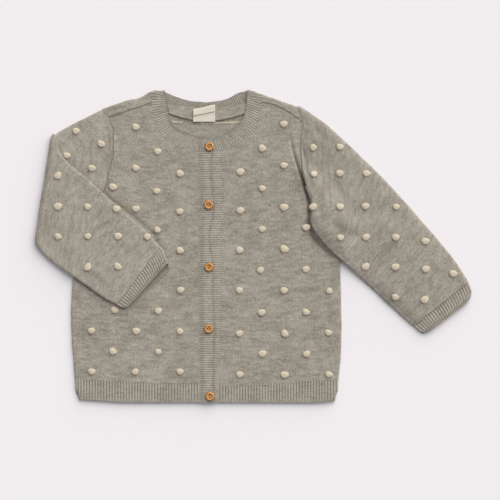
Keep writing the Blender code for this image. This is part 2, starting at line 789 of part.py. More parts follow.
def make_right_sleeve(name):
    root = root_line(-1)
    root[-1] = root[-1] + UNDERARM_START[-1]
    rings = [ring_points(root, shoulder_outward(-1), UNDERARM_NORMAL[-1], flat_levels)]
    for row in RIGHT_SLEEVE:
        line, across = sleeve_line(row, root, EDGE_INSET)
        points = [line(share) for share in even_spans()]
        rings.append(ring_points(points, -across, across, flat_levels))
    rings.extend(turn_rings())
    rings.extend(turned_ring(row, EDGE_INSET) for row in RIGHT_SLEEVE_TURNED[:-1])
    cuff_seam = RIGHT_SLEEVE_TURNED[-1]
    rings.append(turned_ring(cuff_seam, EDGE_INSET, -CUFF_GAP - SEAM_COLLAR))
    rings.append(turned_ring(cuff_seam, EDGE_INSET, -CUFF_GAP))
    return make_cloth(name, [rings], KNIT_WALL, KNIT_GREY)


def make_right_cuff(name):
    cuff_seam = RIGHT_CUFF_TURNED[0]
    rings = [turned_ring(cuff_seam, EDGE_INSET), turned_ring(cuff_seam, EDGE_INSET, SEAM_COLLAR)]
    rings.extend(turned_ring(row, EDGE_INSET) for row in RIGHT_CUFF_TURNED[1:])
    return make_cloth(name, [rings], RIB_WALL, RIB_GREY)


def corner_distance(point):
    """How far a point is outside the body's left side, below the end of the armhole seam."""
    chain = [flat(ARMHOLE[1][LOW_STATION]), flat(ARMHOLE[1][0])]
    chain += [flat(row) for row in reversed(SIDE_EDGE[1][:-1])]
    best = None
    for start, end in zip(chain, chain[1:]):
        along = end - start
        share = min(max((point - start).dot(along) / along.length_squared, 0.0), 1.0)
        gap = point - (start + along * share)
        outside = along.x * gap.y - along.y * gap.x
        if best is None or gap.length < abs(best):
            best = math.copysign(gap.length, outside)
    return best


def draped_levels(point):
    """Heights of the left sleeve's layers, on the body's side and on the floor beyond it."""
    distance = corner_distance(point)
    low = lerp(OVER_BODY_LOW_Z, BACK_Z, smooth_step(distance, *LOW_LAYER_SLOPE))
    high = lerp(OVER_BODY_HIGH_Z, FRONT_Z, smooth_step(distance, *HIGH_LAYER_SLOPE))
    return low, high


def draped_spans(line):
    """Steps across a ring, with two where the lower layer comes down off the body."""
    distance = lambda share: corner_distance(line(share))
    if distance(1.0) > LOW_LAYER_SLOPE[1]:
        return even_spans()
    foot = share_where(distance, LOW_LAYER_SLOPE[1])
    top = min(share_where(distance, LOW_LAYER_SLOPE[0]), LAST_DRAPED_SPAN)
    spans = [foot * k / 5 for k in range(6)]
    return spans + [(foot + top) / 2, top, (top + 1.0) / 2, 1.0]


def left_root():
    """The visible stretch of the left armhole seam, with steps where the sleeve climbs."""
    outside = root_line(1)[:-LOW_STATION]
    low = outside[-1]
    upward = (outside[-2] - low).normalized()
    steps = [low + upward * step for step in ROOT_STEPS_NEAR_FOLD]
    return outside[:-1] + steps + [low + upward * EDGE_INSET]


def make_left_sleeve(name):
    root = left_root()
    rings = [ring_points(root, shoulder_outward(1), UNDERARM_NORMAL[1], draped_levels)]
    for row in LEFT_SLEEVE:
        line, across = sleeve_line(row, root, EDGE_INSET)
        points = [line(share) for share in draped_spans(line)]
        rings.append(ring_points(points, -across, across, draped_levels))
    return make_cloth(name, [rings], KNIT_WALL, KNIT_GREY)


def make_left_cuff(name):
    rings = []
    for row in LEFT_CUFF:
        start, end, across = across_row(row, EDGE_INSET)
        line = [lerp(start, end, share) for share in even_spans()]
        rings.append(ring_points(line, -across, across, lambda _point: (RIB_BACK_Z, FRONT_Z)))
    return make_cloth(name, [rings], RIB_WALL, RIB_GREY)


def bowed(ends_y, middle_y, share):
    """Height of an arc across the back neck."""
    return lerp(middle_y, ends_y, (2.0 * share - 1.0) ** 2)


def make_tape(name):
    rows = []
    for number, half_width in enumerate(TAPE_HALF_WIDTHS):
        line = []
        for column in range(TAPE_COLUMNS + 1):
            share = column / TAPE_COLUMNS
            x = lerp(-half_width, half_width, share)
            y = lerp(bowed(*TAPE_FOOT, share), bowed(*TAPE_TOP, share), number / 2)
            line.append((x, y, TAPE_Z))
        rows.append(line)
    return make_cloth(name, [rows], TAPE_WALL, TAPE_GREY)


def make_label(name):
    """A strip that lies on the tape and folds down over itself at the top."""
    radius = (LABEL_FLAP_Z - LABEL_Z) / 2
    middle_z = (LABEL_FLAP_Z + LABEL_Z) / 2
    path = [(LABEL_FOOT, LABEL_Z, 0.0), (lerp(LABEL_FOOT, LABEL_TOP, 0.5), LABEL_Z, 0.5)]
    for k in range(FOLD_STEPS + 1):
        turn = math.pi * k / FOLD_STEPS
        y = LABEL_TOP + radius * math.sin(turn)
        path.append((y, middle_z - radius * math.cos(turn), 1.0))
    path.append((LABEL_TOP - LABEL_FLAP, LABEL_FLAP_Z, 1.0))
    rows = []
    for y, z, slant in path:
        line = []
        for x in (LABEL_LEFT, (LABEL_LEFT + LABEL_RIGHT) / 2, LABEL_RIGHT):
            rise = (x - (LABEL_LEFT + LABEL_RIGHT) / 2) * LABEL_SLANT * slant
            line.append((x, y + rise, z))
        rows.append(line)
    return make_cloth(name, [rows], TAPE_WALL, LABEL_CREAM)


def make_button(row):
    """A turned wooden button with a raised rim, a dished middle and two holes."""
    profile = [(0.0, BUTTON_HEIGHT - BUTTON_DISH),
               (BUTTON_RADIUS - 2 * BUTTON_RIM + BUTTON_DISH_FLANK, BUTTON_HEIGHT - BUTTON_DISH),
               (BUTTON_RADIUS - BUTTON_RIM, BUTTON_HEIGHT),
               (BUTTON_RADIUS - BUTTON_CROWN, BUTTON_HEIGHT - BUTTON_CROWN_DROP),
               (BUTTON_RADIUS, BUTTON_HEIGHT - BUTTON_EDGE_DROP),
               (BUTTON_RADIUS - BUTTON_FOOT_INSET, 0.0), (0.0, 0.0)]
    mesh = bmesh.new()
    verts = [mesh.verts.new((x * MM, 0.0, z * MM)) for x, z in profile]
    for start, end in zip(verts, verts[1:]):
        mesh.edges.new((start, end))
    data = bpy.data.meshes.new(row.name)
    mesh.to_mesh(data)
    mesh.free()
    button = bpy.data.objects.new(row.name, data)
    parts.objects.link(button)
    button.location = (row.x * MM, row.y * MM, (LAP_Z + RIB_WALL / 2 + SEAM_GAP) * MM)
    button.rotation_euler.z = math.radians(row.turn)
    turned = button.modifiers.new("Turned", "SCREW")
    turned.steps = BUTTON_SIDES
    turned.render_steps = BUTTON_SIDES
    turned.use_merge_vertices = True
    turned.merge_threshold = 0.00001
    turned.use_smooth_shade = False
    for number, offset in enumerate((-0.5, 0.5)):
        cutter = hole_cutter(f"{row.name}_hole_{number}", button, offset * HOLE_SPACING)
        cut = button.modifiers.new(cutter.name, "BOOLEAN")
        cut.operation = "DIFFERENCE"
        cut.object = cutter
    dress(button, BUTTON_WOOD, 0.45)
    return button


def hole_cutter(name, button, offset):
    mesh = bmesh.new()
    bmesh.ops.create_cone(mesh, cap_ends=True, segments=8, radius1=HOLE_RADIUS * MM,
                          radius2=HOLE_RADIUS * MM, depth=4 * BUTTON_HEIGHT * MM)
    data = bpy.data.meshes.new(name)
    mesh.to_mesh(data)
    mesh.free()
    cutter = bpy.data.objects.new(name, data)
    cutters.objects.link(cutter)
    cutter.parent = button
    cutter.location = (offset * MM, 0.0, BUTTON_HEIGHT / 2 * MM)
    cutter.hide_render = True
    cutter.display_type = "WIRE"
    return cutter


for old in list(bpy.data.objects):
    bpy.data.objects.remove(old, do_unlink=True)
parts = bpy.data.collections.new("baby_cardigan")
cutters = bpy.data.collections.new("cutters")
bpy.context.scene.collection.children.link(parts)
bpy.context.scene.collection.children.link(cutters)

make_back("back_panel")
make_front(-1, "front_right_panel", UPPER_BAND_SEAM)
make_front(1, "front_left_panel", UNDER_BAND_SEAM)
make_hem_back("hem_rib_back")
make_hem_front(-1, "hem_rib_front_right", UPPER_BAND_SEAM)
make_hem_front(1, "hem_rib_front_left", UNDER_BAND_SEAM)
make_upper_band("button_band_right")
make_under_band("button_band_left")
make_neckband("neckband")
make_right_sleeve("sleeve_right")
make_right_cuff("cuff_right")
make_left_sleeve("sleeve_left")
make_left_cuff("cuff_left")
make_tape("neck_tape")
make_label("neck_label")
for button_row in BUTTONS:
    make_button(button_row)
bpy.context.view_layer.update()
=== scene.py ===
"""Looks of the baby cardigan: melange knit, ribs, cream bobbles, label and wooden buttons.

Every cloth piece is a thin knitted shell on the form of its solid, in the same frame: metres,
+Z up, origin on the surface under the middle of the body, +X to the wearer's left. Lengths in
the tables are in millimetres.
"""

import math
from collections import namedtuple

import bmesh
import bpy
import numpy as np
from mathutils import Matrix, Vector
from mathutils.bvhtree import BVHTree


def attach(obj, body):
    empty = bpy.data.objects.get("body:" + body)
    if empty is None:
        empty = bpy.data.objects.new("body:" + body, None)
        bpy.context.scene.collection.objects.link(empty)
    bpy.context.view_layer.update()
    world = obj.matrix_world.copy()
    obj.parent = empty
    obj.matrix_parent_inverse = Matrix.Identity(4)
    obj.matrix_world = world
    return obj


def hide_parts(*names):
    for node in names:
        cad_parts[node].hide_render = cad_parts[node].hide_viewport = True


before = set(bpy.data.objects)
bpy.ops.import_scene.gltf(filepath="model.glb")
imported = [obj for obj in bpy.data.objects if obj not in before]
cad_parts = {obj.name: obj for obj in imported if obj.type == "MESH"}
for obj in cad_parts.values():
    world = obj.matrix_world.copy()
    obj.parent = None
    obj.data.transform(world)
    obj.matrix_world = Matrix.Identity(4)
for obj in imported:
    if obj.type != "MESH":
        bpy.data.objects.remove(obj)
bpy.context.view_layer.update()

bl_info = {
    "name": "Baby cardigan",
    "version": (1, 0, 0),
    "blender": (4, 5, 0),
    "location": "View3D > Sidebar > Cardigan",
    "description": "Knits the shells, bobbles, label and buttons of a laid-out baby cardigan",
    "category": "Object",
}

MM = 0.001

# Walls and layers
KNIT_WALL = 1.5
RIB_WALL = 1.7
TAPE_WALL = 1.0
SEAM_GAP = 0.3
LAYER_STEP = 2.45
LAP_CLEARANCE = 0.35
BACK_Z = KNIT_WALL / 2
FRONT_Z = BACK_Z + LAYER_STEP
RIB_BACK_Z = RIB_WALL / 2
LAP_Z = FRONT_Z + RIB_WALL + LAP_CLEARANCE
TAPE_Z = RIB_WALL + SEAM_GAP + TAPE_WALL / 2
LABEL_Z = TAPE_Z + TAPE_WALL + SEAM_GAP
LABEL_FLAP_Z = LABEL_Z + TAPE_WALL + SEAM_GAP

# Halvings of a search along a curve
HALVINGS = 40

# Rounded edges, where one layer turns into the other
ROLL_RADIUS = 0.9
ROLL_STEPS = 3
FOLD_STEPS = 6
EDGE_STEPS = 4
EDGE_INSET = 2.0

# Grid of a panel: the corner row joins the underarm and the foot of the neck seam
CORNER_ROW = 7
CORNER_ROLLS = {6: 0.75, 7: 0.4}
NECK_ROWS = 8
PANEL_COLUMNS = 6

# The sleeve that is folded over turns about this line and height
TURN_TOP = Vector((-162.9, 118.5))
TURN_FOOT = Vector((-181.3, 1.2))
TURN_Z = FRONT_Z + 0.95
SAG_START = 0.6

# The other sleeve lies on the side of the body, one layer up
OVER_BODY_CLEARANCE = 0.4
OVER_BODY_LOFT = 2.0
OVER_BODY_LOW_Z = FRONT_Z + KNIT_WALL + OVER_BODY_CLEARANCE
OVER_BODY_HIGH_Z = OVER_BODY_LOW_Z + OVER_BODY_LOFT
LOW_LAYER_SLOPE = (4.5, 14.0)
HIGH_LAYER_SLOPE = (5.0, 26.0)

# Outline of the body, from the hem seam to the underarm, for each side
Edge = namedtuple("Edge", "name x y")
SIDE_EDGE = {
    -1: [Edge("hem seam", -141.0, -144.0), Edge("hip", -143.1, -115.0),
         Edge("waist", -145.2, -79.0), Edge("chest", -143.3, -38.0),
         Edge("underarm", -138.5, 26.0)],
    1: [Edge("hem seam", 140.3, -144.0), Edge("hip", 143.1, -115.0),
        Edge("waist", 143.6, -85.0), Edge("chest", 143.0, -38.0),
        Edge("underarm", 140.5, 26.0)],
}

# Armhole seam, from the underarm to the shoulder fold
ARMHOLE = {
    -1: [Edge("underarm", -138.5, 26.0), Edge("curve", -128.0, 34.6),
         Edge("curve", -117.6, 46.0), Edge("low", -109.5, 61.0),
         Edge("side", -104.2, 78.0), Edge("side", -100.8, 95.0),
         Edge("side", -99.2, 112.0), Edge("high", -100.8, 126.0),
         Edge("shoulder seam", -104.5, 137.3), Edge("shoulder fold", -110.6, 146.4)],
    1: [Edge("underarm", 140.5, 26.0), Edge("curve", 128.4, 37.0),
        Edge("curve", 116.8, 49.2), Edge("low", 106.6, 62.3),
        Edge("side", 102.6, 76.5), Edge("side", 100.4, 90.5),
        Edge("side", 99.7, 105.0), Edge("high", 100.6, 119.0),
        Edge("shoulder seam", 102.4, 131.6), Edge("shoulder fold", 98.0, 149.5)],
}
LOW_STATION = 3
SEAM_STATION = 8
SHOULDER_SEAM_BOW = {-1: 0.0, 1: 4.4}

# Neckband, as pairs of points across it: its free edge and its seam
Band = namedtuple("Band", "name free_x free_y seam_x seam_y")
NECK_FRONT = {
    -1: [Band("lap end", 6.4, 114.8, 6.4, 101.7),
         Band("centre", -7.5, 116.8, -7.5, 101.7),
         Band("low", -18.2, 119.3, -21.0, 103.6),
         Band("lower side", -28.9, 123.2, -34.2, 108.3),
         Band("side", -36.6, 129.0, -46.4, 116.5),
         Band("upper side", -40.8, 138.0, -54.8, 130.5),
         Band("high", -42.3, 153.5, -58.4, 149.0)],
    1: [Band("under end", -1.0, 115.2, -1.0, 101.7),
        Band("centre", 6.0, 115.4, 6.0, 101.7),
        Band("low", 15.5, 117.9, 17.5, 102.9),
        Band("lower side", 25.5, 123.9, 31.2, 107.6),
        Band("side", 34.4, 131.2, 44.0, 116.0),
        Band("upper side", 40.4, 141.2, 54.6, 131.5),
        Band("high", 42.6, 154.5, 58.5, 149.0)],
}
NECK_FOLD = {
    -1: Band("shoulder fold", -45.2, 166.6, -60.0, 164.4),
    1: Band("shoulder fold", 43.9, 167.8, 60.6, 161.6),
}
NECK_BACK = {
    -1: [Band("centre", 0.0, 153.5, 0.0, 137.5),
         Band("middle", -18.2, 155.0, -23.5, 139.9),
         Band("side", -34.2, 159.8, -44.9, 147.0)],
    1: [Band("centre", 0.0, 153.5, 0.0, 137.5),
        Band("middle", 18.6, 156.2, 23.5, 139.9),
        Band("side", 34.2, 162.8, 44.9, 147.4)],
}
BAND_FOLD_RADIUS = (FRONT_Z - RIB_BACK_Z) / 2
BAND_COLUMNS = 3

# Height at which the forward shoulder seam meets the neckband
SHOULDER_SEAM_START = {-1: 153.2, 1: 153.2}

# Seam between the fronts and the hem rib, and the rib's lower edge
Height = namedtuple("Height", "x y")
HEM_SEAM = [Height(-140.0, -141.5), Height(-104.0, -144.0), Height(-60.0, -146.4),
            Height(-9.0, -147.0), Height(14.0, -150.4), Height(57.0, -149.0),
            Height(100.0, -145.6), Height(140.0, -142.6)]
HEM_EDGE = [Height(-136.0, -163.8), Height(-123.0, -164.4), Height(-106.0, -165.9),
            Height(-90.0, -166.9), Height(0.0, -166.9), Height(124.0, -167.2),
            Height(136.5, -165.2)]
HEM_SIDE = {
    -1: [Edge("seam", -141.0, -142.0), Edge("middle", -140.3, -154.0),
         Edge("corner", -136.4, -164.2)],
    1: [Edge("seam", 140.3, -142.0), Edge("middle", 139.6, -154.0),
        Edge("corner", 136.4, -165.2)],
}
HEM_SEAM_BACK_Y = -146.5
HEM_EDGE_Y = -166.9
NECK_FOOT_Y = 101.7
HEM_ROWS = 3

# Front bands: the upper one laps over the under one and its free edge waves
Lap = namedtuple("Lap", "y edge_x")
LAP_EDGE = [Lap(104.0, 6.4), Lap(85.0, 4.4), Lap(64.0, 6.2), Lap(44.0, 8.2), Lap(26.0, 5.0),
            Lap(9.0, 2.6), Lap(-7.0, 5.0), Lap(-22.0, 7.6), Lap(-42.0, 6.4), Lap(-65.0, 7.4),
            Lap(-88.0, 8.8), Lap(-111.0, 7.5), Lap(-170.0, 7.5)]
UPPER_BAND_SEAM = (Edge("neck", -10.6, 101.8), Edge("hem", -8.0, -166.9))
UNDER_BAND_SEAM = (Edge("neck", 16.6, 101.8), Edge("hem", 13.4, -166.9))
UNDER_BAND_EDGE = -1.0
LAP_RISE_START = 1.0
LAP_TOP_X = -2.6
BAND_ROWS = 18

# Stations along the sleeves: the overarm edge and the underarm edge of each, as they lie.
# "curve" is how much of the armhole's curve the ring keeps; "lag" and "tuck" move the layer
# beneath the folded sleeve along it and inward; "sag" lets its free edge down.
Ring = namedtuple("Ring", "name over_x over_y under_x under_y curve")
Turned = namedtuple("Turned", "name over_x over_y under_x under_y lag tuck sag")
RIGHT_SLEEVE = [Ring("upper arm", -136.2, 134.2, -159.5, 12.6, 0.45)]
RIGHT_SLEEVE_TURNED = [
    Turned("elbow", -154.0, 96.0, -168.0, -14.9, 0.0, 1.5, 1.6),
    Turned("forearm", -125.4, 70.6, -148.7, -28.7, 0.0, 1.5, 0.0),
    Turned("lower arm", -93.1, 41.0, -125.2, -45.3, 0.0, 1.5, 0.0),
    Turned("wrist", -68.5, 20.3, -109.1, -56.6, 0.0, 1.5, 0.0),
    Turned("cuff seam", -48.9, -0.5, -96.0, -63.5, 0.4, 1.5, 0.0),
]
RIGHT_CUFF_TURNED = [
    RIGHT_SLEEVE_TURNED[-1],
    Turned("cuff middle", -44.9, -9.0, -91.0, -65.6, 4.0, 3.2, 0.0),
    Turned("cuff end", -41.7, -17.4, -86.6, -67.2, 6.5, 4.2, 0.0),
]
LEFT_SLEEVE = [
    Ring("shoulder", 113.0, 140.2, 111.9, 46.3, 0.7),
    Ring("upper arm", 130.4, 127.3, 111.9, 23.3, 0.35),
    Ring("underarm fold", 147.9, 111.6, 122.5, 5.5, 0.1),
    Ring("over the side", 164.1, 96.1, 134.5, -7.6, 0.0),
    Ring("side of the body", 179.4, 81.3, 146.0, -17.6, 0.0),
    Ring("elbow", 194.2, 66.1, 158.5, -28.6, 0.0),
    Ring("forearm", 212.8, 45.8, 175.0, -44.0, 0.0),
    Ring("lower arm", 232.6, 23.1, 191.7, -59.8, 0.0),
    Ring("wrist", 252.7, -0.4, 207.0, -74.0, 0.0),
    Ring("cuff approach", 267.2, -19.1, 214.2, -80.4, 0.0),
    Ring("cuff seam", 279.2, -37.9, 220.2, -85.5, 0.0),
]
LEFT_CUFF = [
    Ring("cuff seam", 279.4, -38.4, 220.6, -85.8, 0.0),
    Ring("cuff middle", 283.0, -47.6, 225.6, -90.4, 0.0),
    Ring("cuff end", 282.4, -57.2, 232.6, -95.4, 0.0),
]
RING_SPANS = 9
ROOT_STEPS_NEAR_FOLD = (9.3, 4.6, 3.2)
LAST_DRAPED_SPAN = 0.96
UNDERARM_NORMAL = {-1: Vector((0.53, -0.85)), 1: Vector((-0.90, -0.44))}
UNDERARM_START = {-1: Vector((-1.3, 2.4))}
OVERARM_START = {-1: Vector((-0.3, 0.1)), 1: Vector((0.6, 0.1))}

# Straight end of a tube beside a seam
SEAM_COLLAR = 1.5
CUFF_GAP = 0.55

# Back neck tape and label
TAPE_HALF_WIDTHS = (39.6, 40.3, 41.0)
TAPE_TOP = (152.3, 148.4)
TAPE_FOOT = (141.4, 133.4)
TAPE_COLUMNS = 12
LABEL_LEFT = -14.6
LABEL_RIGHT = 8.8
LABEL_FOOT = 132.8
LABEL_TOP = 147.6
LABEL_FLAP = 6.0
LABEL_SLANT = 0.20

# Buttons
Button = namedtuple("Button", "name x y turn")
BUTTONS = [Button("button_1", 2.7, 106.2, 25.0), Button("button_2", 1.8, 43.9, -10.0),
           Button("button_3", 2.4, -22.5, 55.0), Button("button_4", 1.8, -88.3, 5.0),
           Button("button_5", 3.3, -160.3, 80.0)]
BUTTON_HEIGHT = 2.6
HOLE_RADIUS = 0.65
HOLE_SPACING = 2.5


def flat(row):
    """The x and y of a row of a table, as a vector."""
    return Vector((row.x, row.y))


def lerp(start, end, share):
    return start + (end - start) * share


def smooth_step(value, low, high):
    """0 below low, 1 above high and a soft rise between them."""
    share = min(max((value - low) / (high - low), 0.0), 1.0)
    return share * share * (3.0 - 2.0 * share)


def cubic(start, end, leaving, arriving, s):
    """From start to end at a share s, with the steps that it leaves and arrives by."""
    first = start * (2 * s**3 - 3 * s**2 + 1) + leaving * (s**3 - 2 * s**2 + s)
    return first + (end * (3 * s**2 - 2 * s**3) + arriving * (s**3 - s**2))


def through(points):
    """A smooth curve through points, as a function of 0..1."""
    stops = [0.0]
    for before, after in zip(points, points[1:]):
        stops.append(stops[-1] + (after - before).length)
    stops = [stop / stops[-1] for stop in stops]
    last = len(points) - 1
    slopes = []
    for k in range(len(points)):
        low, high = max(k - 1, 0), min(k + 1, last)
        slopes.append((points[high] - points[low]) / (stops[high] - stops[low]))

    def curve(share):
        k = max(i for i in range(last) if stops[i] <= max(share, 0.0))
        span = stops[k + 1] - stops[k]
        return cubic(points[k], points[k + 1], slopes[k] * span, slopes[k + 1] * span,
                     (share - stops[k]) / span)

    return curve


def moved_beside(points, distance):
    """A chain of points moved sideways, to the left of its own direction."""
    moved = []
    for k, point in enumerate(points):
        before = points[max(k - 1, 0)]
        after = points[min(k + 1, len(points) - 1)]
        normals = []
        for start, end in ((before, point), (point, after)):
            if start != end:
                along = (end - start).normalized()
                normals.append(Vector((-along.y, along.x)))
        middle = (normals[0] + normals[-1]).normalized()
        moved.append(point + middle * distance / middle.dot(normals[0]))
    return moved


def share_where(measure, target):
    """The share at which a measure that falls or rises steadily meets its target."""
    low, high = 0.0, 1.0
    rising = measure(1.0) > measure(0.0)
    for _ in range(HALVINGS):
        middle = (low + high) / 2
        if (measure(middle) < target) == rising:
            low = middle
        else:
            high = middle
    return low


def height_at(rows, x):
    """A value read from a short table of x and y, straight between its rows."""
    for before, after in zip(rows, rows[1:]):
        if x <= after[0]:
            break
    share = (x - before[0]) / (after[0] - before[0])
    return lerp(before[1], after[1], min(max(share, 0.0), 1.0))


def side_chain(side):
    """The body's outline from the hem seam to the underarm, one point a row."""
    outline = through([flat(row) for row in SIDE_EDGE[side]])
    return [outline(row / CORNER_ROW) for row in range(CORNER_ROW + 1)]


def shoulder_outward(side):
    """The direction that the shoulder fold faces."""
    neck = NECK_FOLD[side]
    along = (flat(ARMHOLE[side][-1]) - Vector((neck.seam_x, neck.seam_y))).normalized()
    return Vector((-along.y, along.x)) * side


def armhole_chain(side):
    """The armhole seam from the underarm to where the shoulder starts to fold."""
    chain = [flat(row) for row in ARMHOLE[side]]
    chain[-1] = chain[-1] - shoulder_outward(side) * (LAYER_STEP + KNIT_WALL) / 2
    return chain


def outer_rows(side, inset, last_station):
    """The outer ends of a panel's rows, moved in from the outline and the armhole."""
    rows = moved_beside(side_chain(side), side * inset)
    armhole = moved_beside(armhole_chain(side), side * inset)
    return rows + armhole[1:last_station + 1]


def roll_profile(flat_z, other_z):
    """Reach and height across an edge that rolls to the middle between two layers."""
    profile = []
    toward = math.copysign(1.0, other_z - flat_z)
    for k in range(1, ROLL_STEPS + 1):
        turn = math.pi / 2 * k / ROLL_STEPS
        drop = ROLL_RADIUS * (1.0 - math.cos(turn))
        profile.append((ROLL_RADIUS * math.sin(turn), flat_z + toward * drop))
    profile.append((ROLL_RADIUS, (flat_z + other_z - toward * SEAM_GAP) / 2))
    return profile


def panel_rows(side, inner, last_station, flat_z, other_z, foot_y):
    """Rows of a panel: flat to near its outer edge, then rolled, or flat to the armhole."""
    profile = roll_profile(flat_z, other_z)
    inset = ROLL_RADIUS + KNIT_WALL / 2
    ends = outer_rows(side, inset, last_station)
    rims = []
    for k, (reach, level) in enumerate(profile):
        rolled = outer_rows(side, inset - reach, last_station)
        share = (k + 1) / len(profile)
        to_seam = outer_rows(side, lerp(inset, SEAM_GAP / 2, share), last_station)
        rims.append((rolled, to_seam, level))
    rows = []
    for row, (start, end) in enumerate(zip(inner, ends)):
        line = []
        for column in range(PANEL_COLUMNS + 1):
            spot = lerp(start, end, column / PANEL_COLUMNS)
            line.append((spot.x, spot.y, flat_z))
        for rolled, to_seam, level in rims:
            amount = CORNER_ROLLS.get(row, 1.0 if row < CORNER_ROW else 0.0)
            spot = rolled[row] if row < CORNER_ROW else lerp(to_seam[row], rolled[row], amount)
            line.append((spot.x, spot.y, lerp(flat_z, level, amount)))
        rows.append(line)
    rows[0] = [(x, foot_y(x) + SEAM_GAP / 2, z) for x, _, z in rows[0]]
    return rows


def fold_line(side):
    """The neckband's fold at the shoulder, moved in so that its outside meets the outline."""
    row = NECK_FOLD[side]
    free = Vector((row.free_x, row.free_y))
    seam = Vector((row.seam_x, row.seam_y))
    along = (seam - free).normalized()
    outward = Vector((-along.y, along.x)) * side
    inset = outward * (BAND_FOLD_RADIUS + RIB_WALL / 2)
    return free - inset, seam - inset, outward


def neck_curve(side, rows):
    """The neckband's free edge and seam together, from the centre to the shoulder fold."""
    free, seam, _ = fold_line(side)
    points = [Vector(row[1:]) for row in rows[side]]
    points.append(Vector((free.x, free.y, seam.x, seam.y)))
    return through(points)


def seam_point(pair):
    return Vector((pair[2], pair[3]))


def shoulder_seam_share(side):
    """Where the forward shoulder seam meets the front neck curve, as a share of it."""
    curve = neck_curve(side, NECK_FRONT)
    return share_where(lambda share: curve(share)[3], SHOULDER_SEAM_START[side])


def shoulder_seam_foot(side):
    return seam_point(neck_curve(side, NECK_FRONT)(shoulder_seam_share(side)))


def neck_shares(side, band_x):
    """Shares along the front neck curve of the panel's rows, from its band to the shoulder."""
    curve = neck_curve(side, NECK_FRONT)
    start = share_where(lambda share: curve(share)[2], band_x)
    end = shoulder_seam_share(side)
    return [lerp(start, end, row / NECK_ROWS) for row in range(NECK_ROWS + 1)]


def back_neck_shares():
    count = NECK_ROWS + 1
    return [row / count for row in range(count + 1)]


def band_seam(rows, y):
    """Where the seam of a front band is at a height."""
    share = (rows[0].y - y) / (rows[0].y - rows[1].y)
    return lerp(rows[0].x, rows[1].x, share)


def hem_seam_y(x):
    return height_at(HEM_SEAM, x)


def shoulder_seam_y(side, x):
    """Height of the forward shoulder seam, from the neckband to the armhole."""
    start = shoulder_seam_foot(side)
    end = flat(ARMHOLE[side][SEAM_STATION])
    share = (x - start.x) / (end.x - start.x)
    return lerp(start.y, end.y, share) + SHOULDER_SEAM_BOW[side] * 4.0 * share * (1.0 - share)


def inner_ends(foot, neck):
    """A panel's inner ends: up its straight edge from the foot, then along the neck."""
    return [lerp(foot, neck[0], row / CORNER_ROW) for row in range(CORNER_ROW)] + neck


def front_nets(side, band_rows):
    """A front panel: band and neck seams inside, side and armhole outside."""
    curve = neck_curve(side, NECK_FRONT)
    shares = neck_shares(side, band_rows[0].x)
    neck = moved_beside([seam_point(curve(share)) for share in shares],
                        -side * SEAM_GAP / 2)
    neck[0].x = band_rows[0].x + side * SEAM_GAP / 2
    foot_x = band_seam(band_rows, hem_seam_y(0.0)) + side * SEAM_GAP / 2
    foot = Vector((foot_x, hem_seam_y(foot_x)))
    rows = panel_rows(side, inner_ends(foot, neck), SEAM_STATION, FRONT_Z, BACK_Z, hem_seam_y)
    rows[-1] = [(x, shoulder_seam_y(side, x) - SEAM_GAP / 2, z) for x, _, z in rows[-1]]
    return [rows]


def back_half(side):
    """Half of the back, and the strip of it that comes over the shoulder to the front."""
    curve = neck_curve(side, NECK_BACK)
    neck = moved_beside([seam_point(curve(share)) for share in back_neck_shares()],
                        -side * SEAM_GAP / 2)
    neck[0].x = 0.0
    foot = Vector((0.0, HEM_SEAM_BACK_Y))
    rows = panel_rows(side, inner_ends(foot, neck), SEAM_STATION + 1, BACK_Z, FRONT_Z,
                      lambda _x: HEM_SEAM_BACK_Y)
    return rows + shoulder_strip(side, rows[-1])[1:]


def shoulder_strip(side, top_line):
    """From the top of the back, over the fold and down to the forward shoulder seam."""
    radius = LAYER_STEP / 2
    outward = shoulder_outward(side).to_3d()
    strip = [top_line]
    for k in range(1, FOLD_STEPS + 1):
        turn = math.pi * k / FOLD_STEPS
        shift = outward * radius * math.sin(turn)
        shift.z = radius * (1.0 - math.cos(turn))
        strip.append([tuple(Vector(point) + shift) for point in top_line])
    folded = strip[-1]
    seam = flat(ARMHOLE[side][SEAM_STATION])
    start_x = shoulder_seam_foot(side).x + side * SEAM_GAP / 2
    end_x = seam.x - side * SEAM_GAP / 2
    width = folded[-1][0] - folded[0][0]
    for share_down in (0.5, 1.0):
        line = []
        for x, y, z in folded:
            foot_x = lerp(start_x, end_x, (x - folded[0][0]) / width)
            foot_y = shoulder_seam_y(side, foot_x) + SEAM_GAP / 2
            line.append((lerp(x, foot_x, share_down), lerp(y, foot_y, share_down), z))
        strip.append(line)
    return strip


def back_nets():
    return [back_half(-1), back_half(1)]


def lap_columns(seam_x, free_x):
    """Columns across the upper band: flat at its seam, up to the lap, level to its edge."""
    start = seam_x + LAP_RISE_START
    return [seam_x, start, (start + LAP_TOP_X) / 2, LAP_TOP_X, (LAP_TOP_X + free_x) / 2, free_x]


def lap_height(x, seam_x):
    """The upper band climbs over the under one."""
    return lerp(FRONT_Z, LAP_Z, smooth_step(x, seam_x + LAP_RISE_START, LAP_TOP_X))


def under_columns(seam_x):
    return [lerp(UNDER_BAND_EDGE, seam_x, column / BAND_COLUMNS)
            for column in range(BAND_COLUMNS + 1)]


def front_band_shares(side):
    """Stations of the neckband at the front: over a front band, then beside the panel."""
    curve = neck_curve(side, NECK_FRONT)
    if side == -1:
        seam_x = UPPER_BAND_SEAM[0].x
        columns = list(reversed(lap_columns(seam_x, NECK_FRONT[-1][0].seam_x)))
    else:
        seam_x = UNDER_BAND_SEAM[0].x
        columns = under_columns(seam_x)
    shares = [share_where(lambda share: curve(share)[2], x) for x in columns[:-1]]
    return shares + neck_shares(side, seam_x) + [1.0]


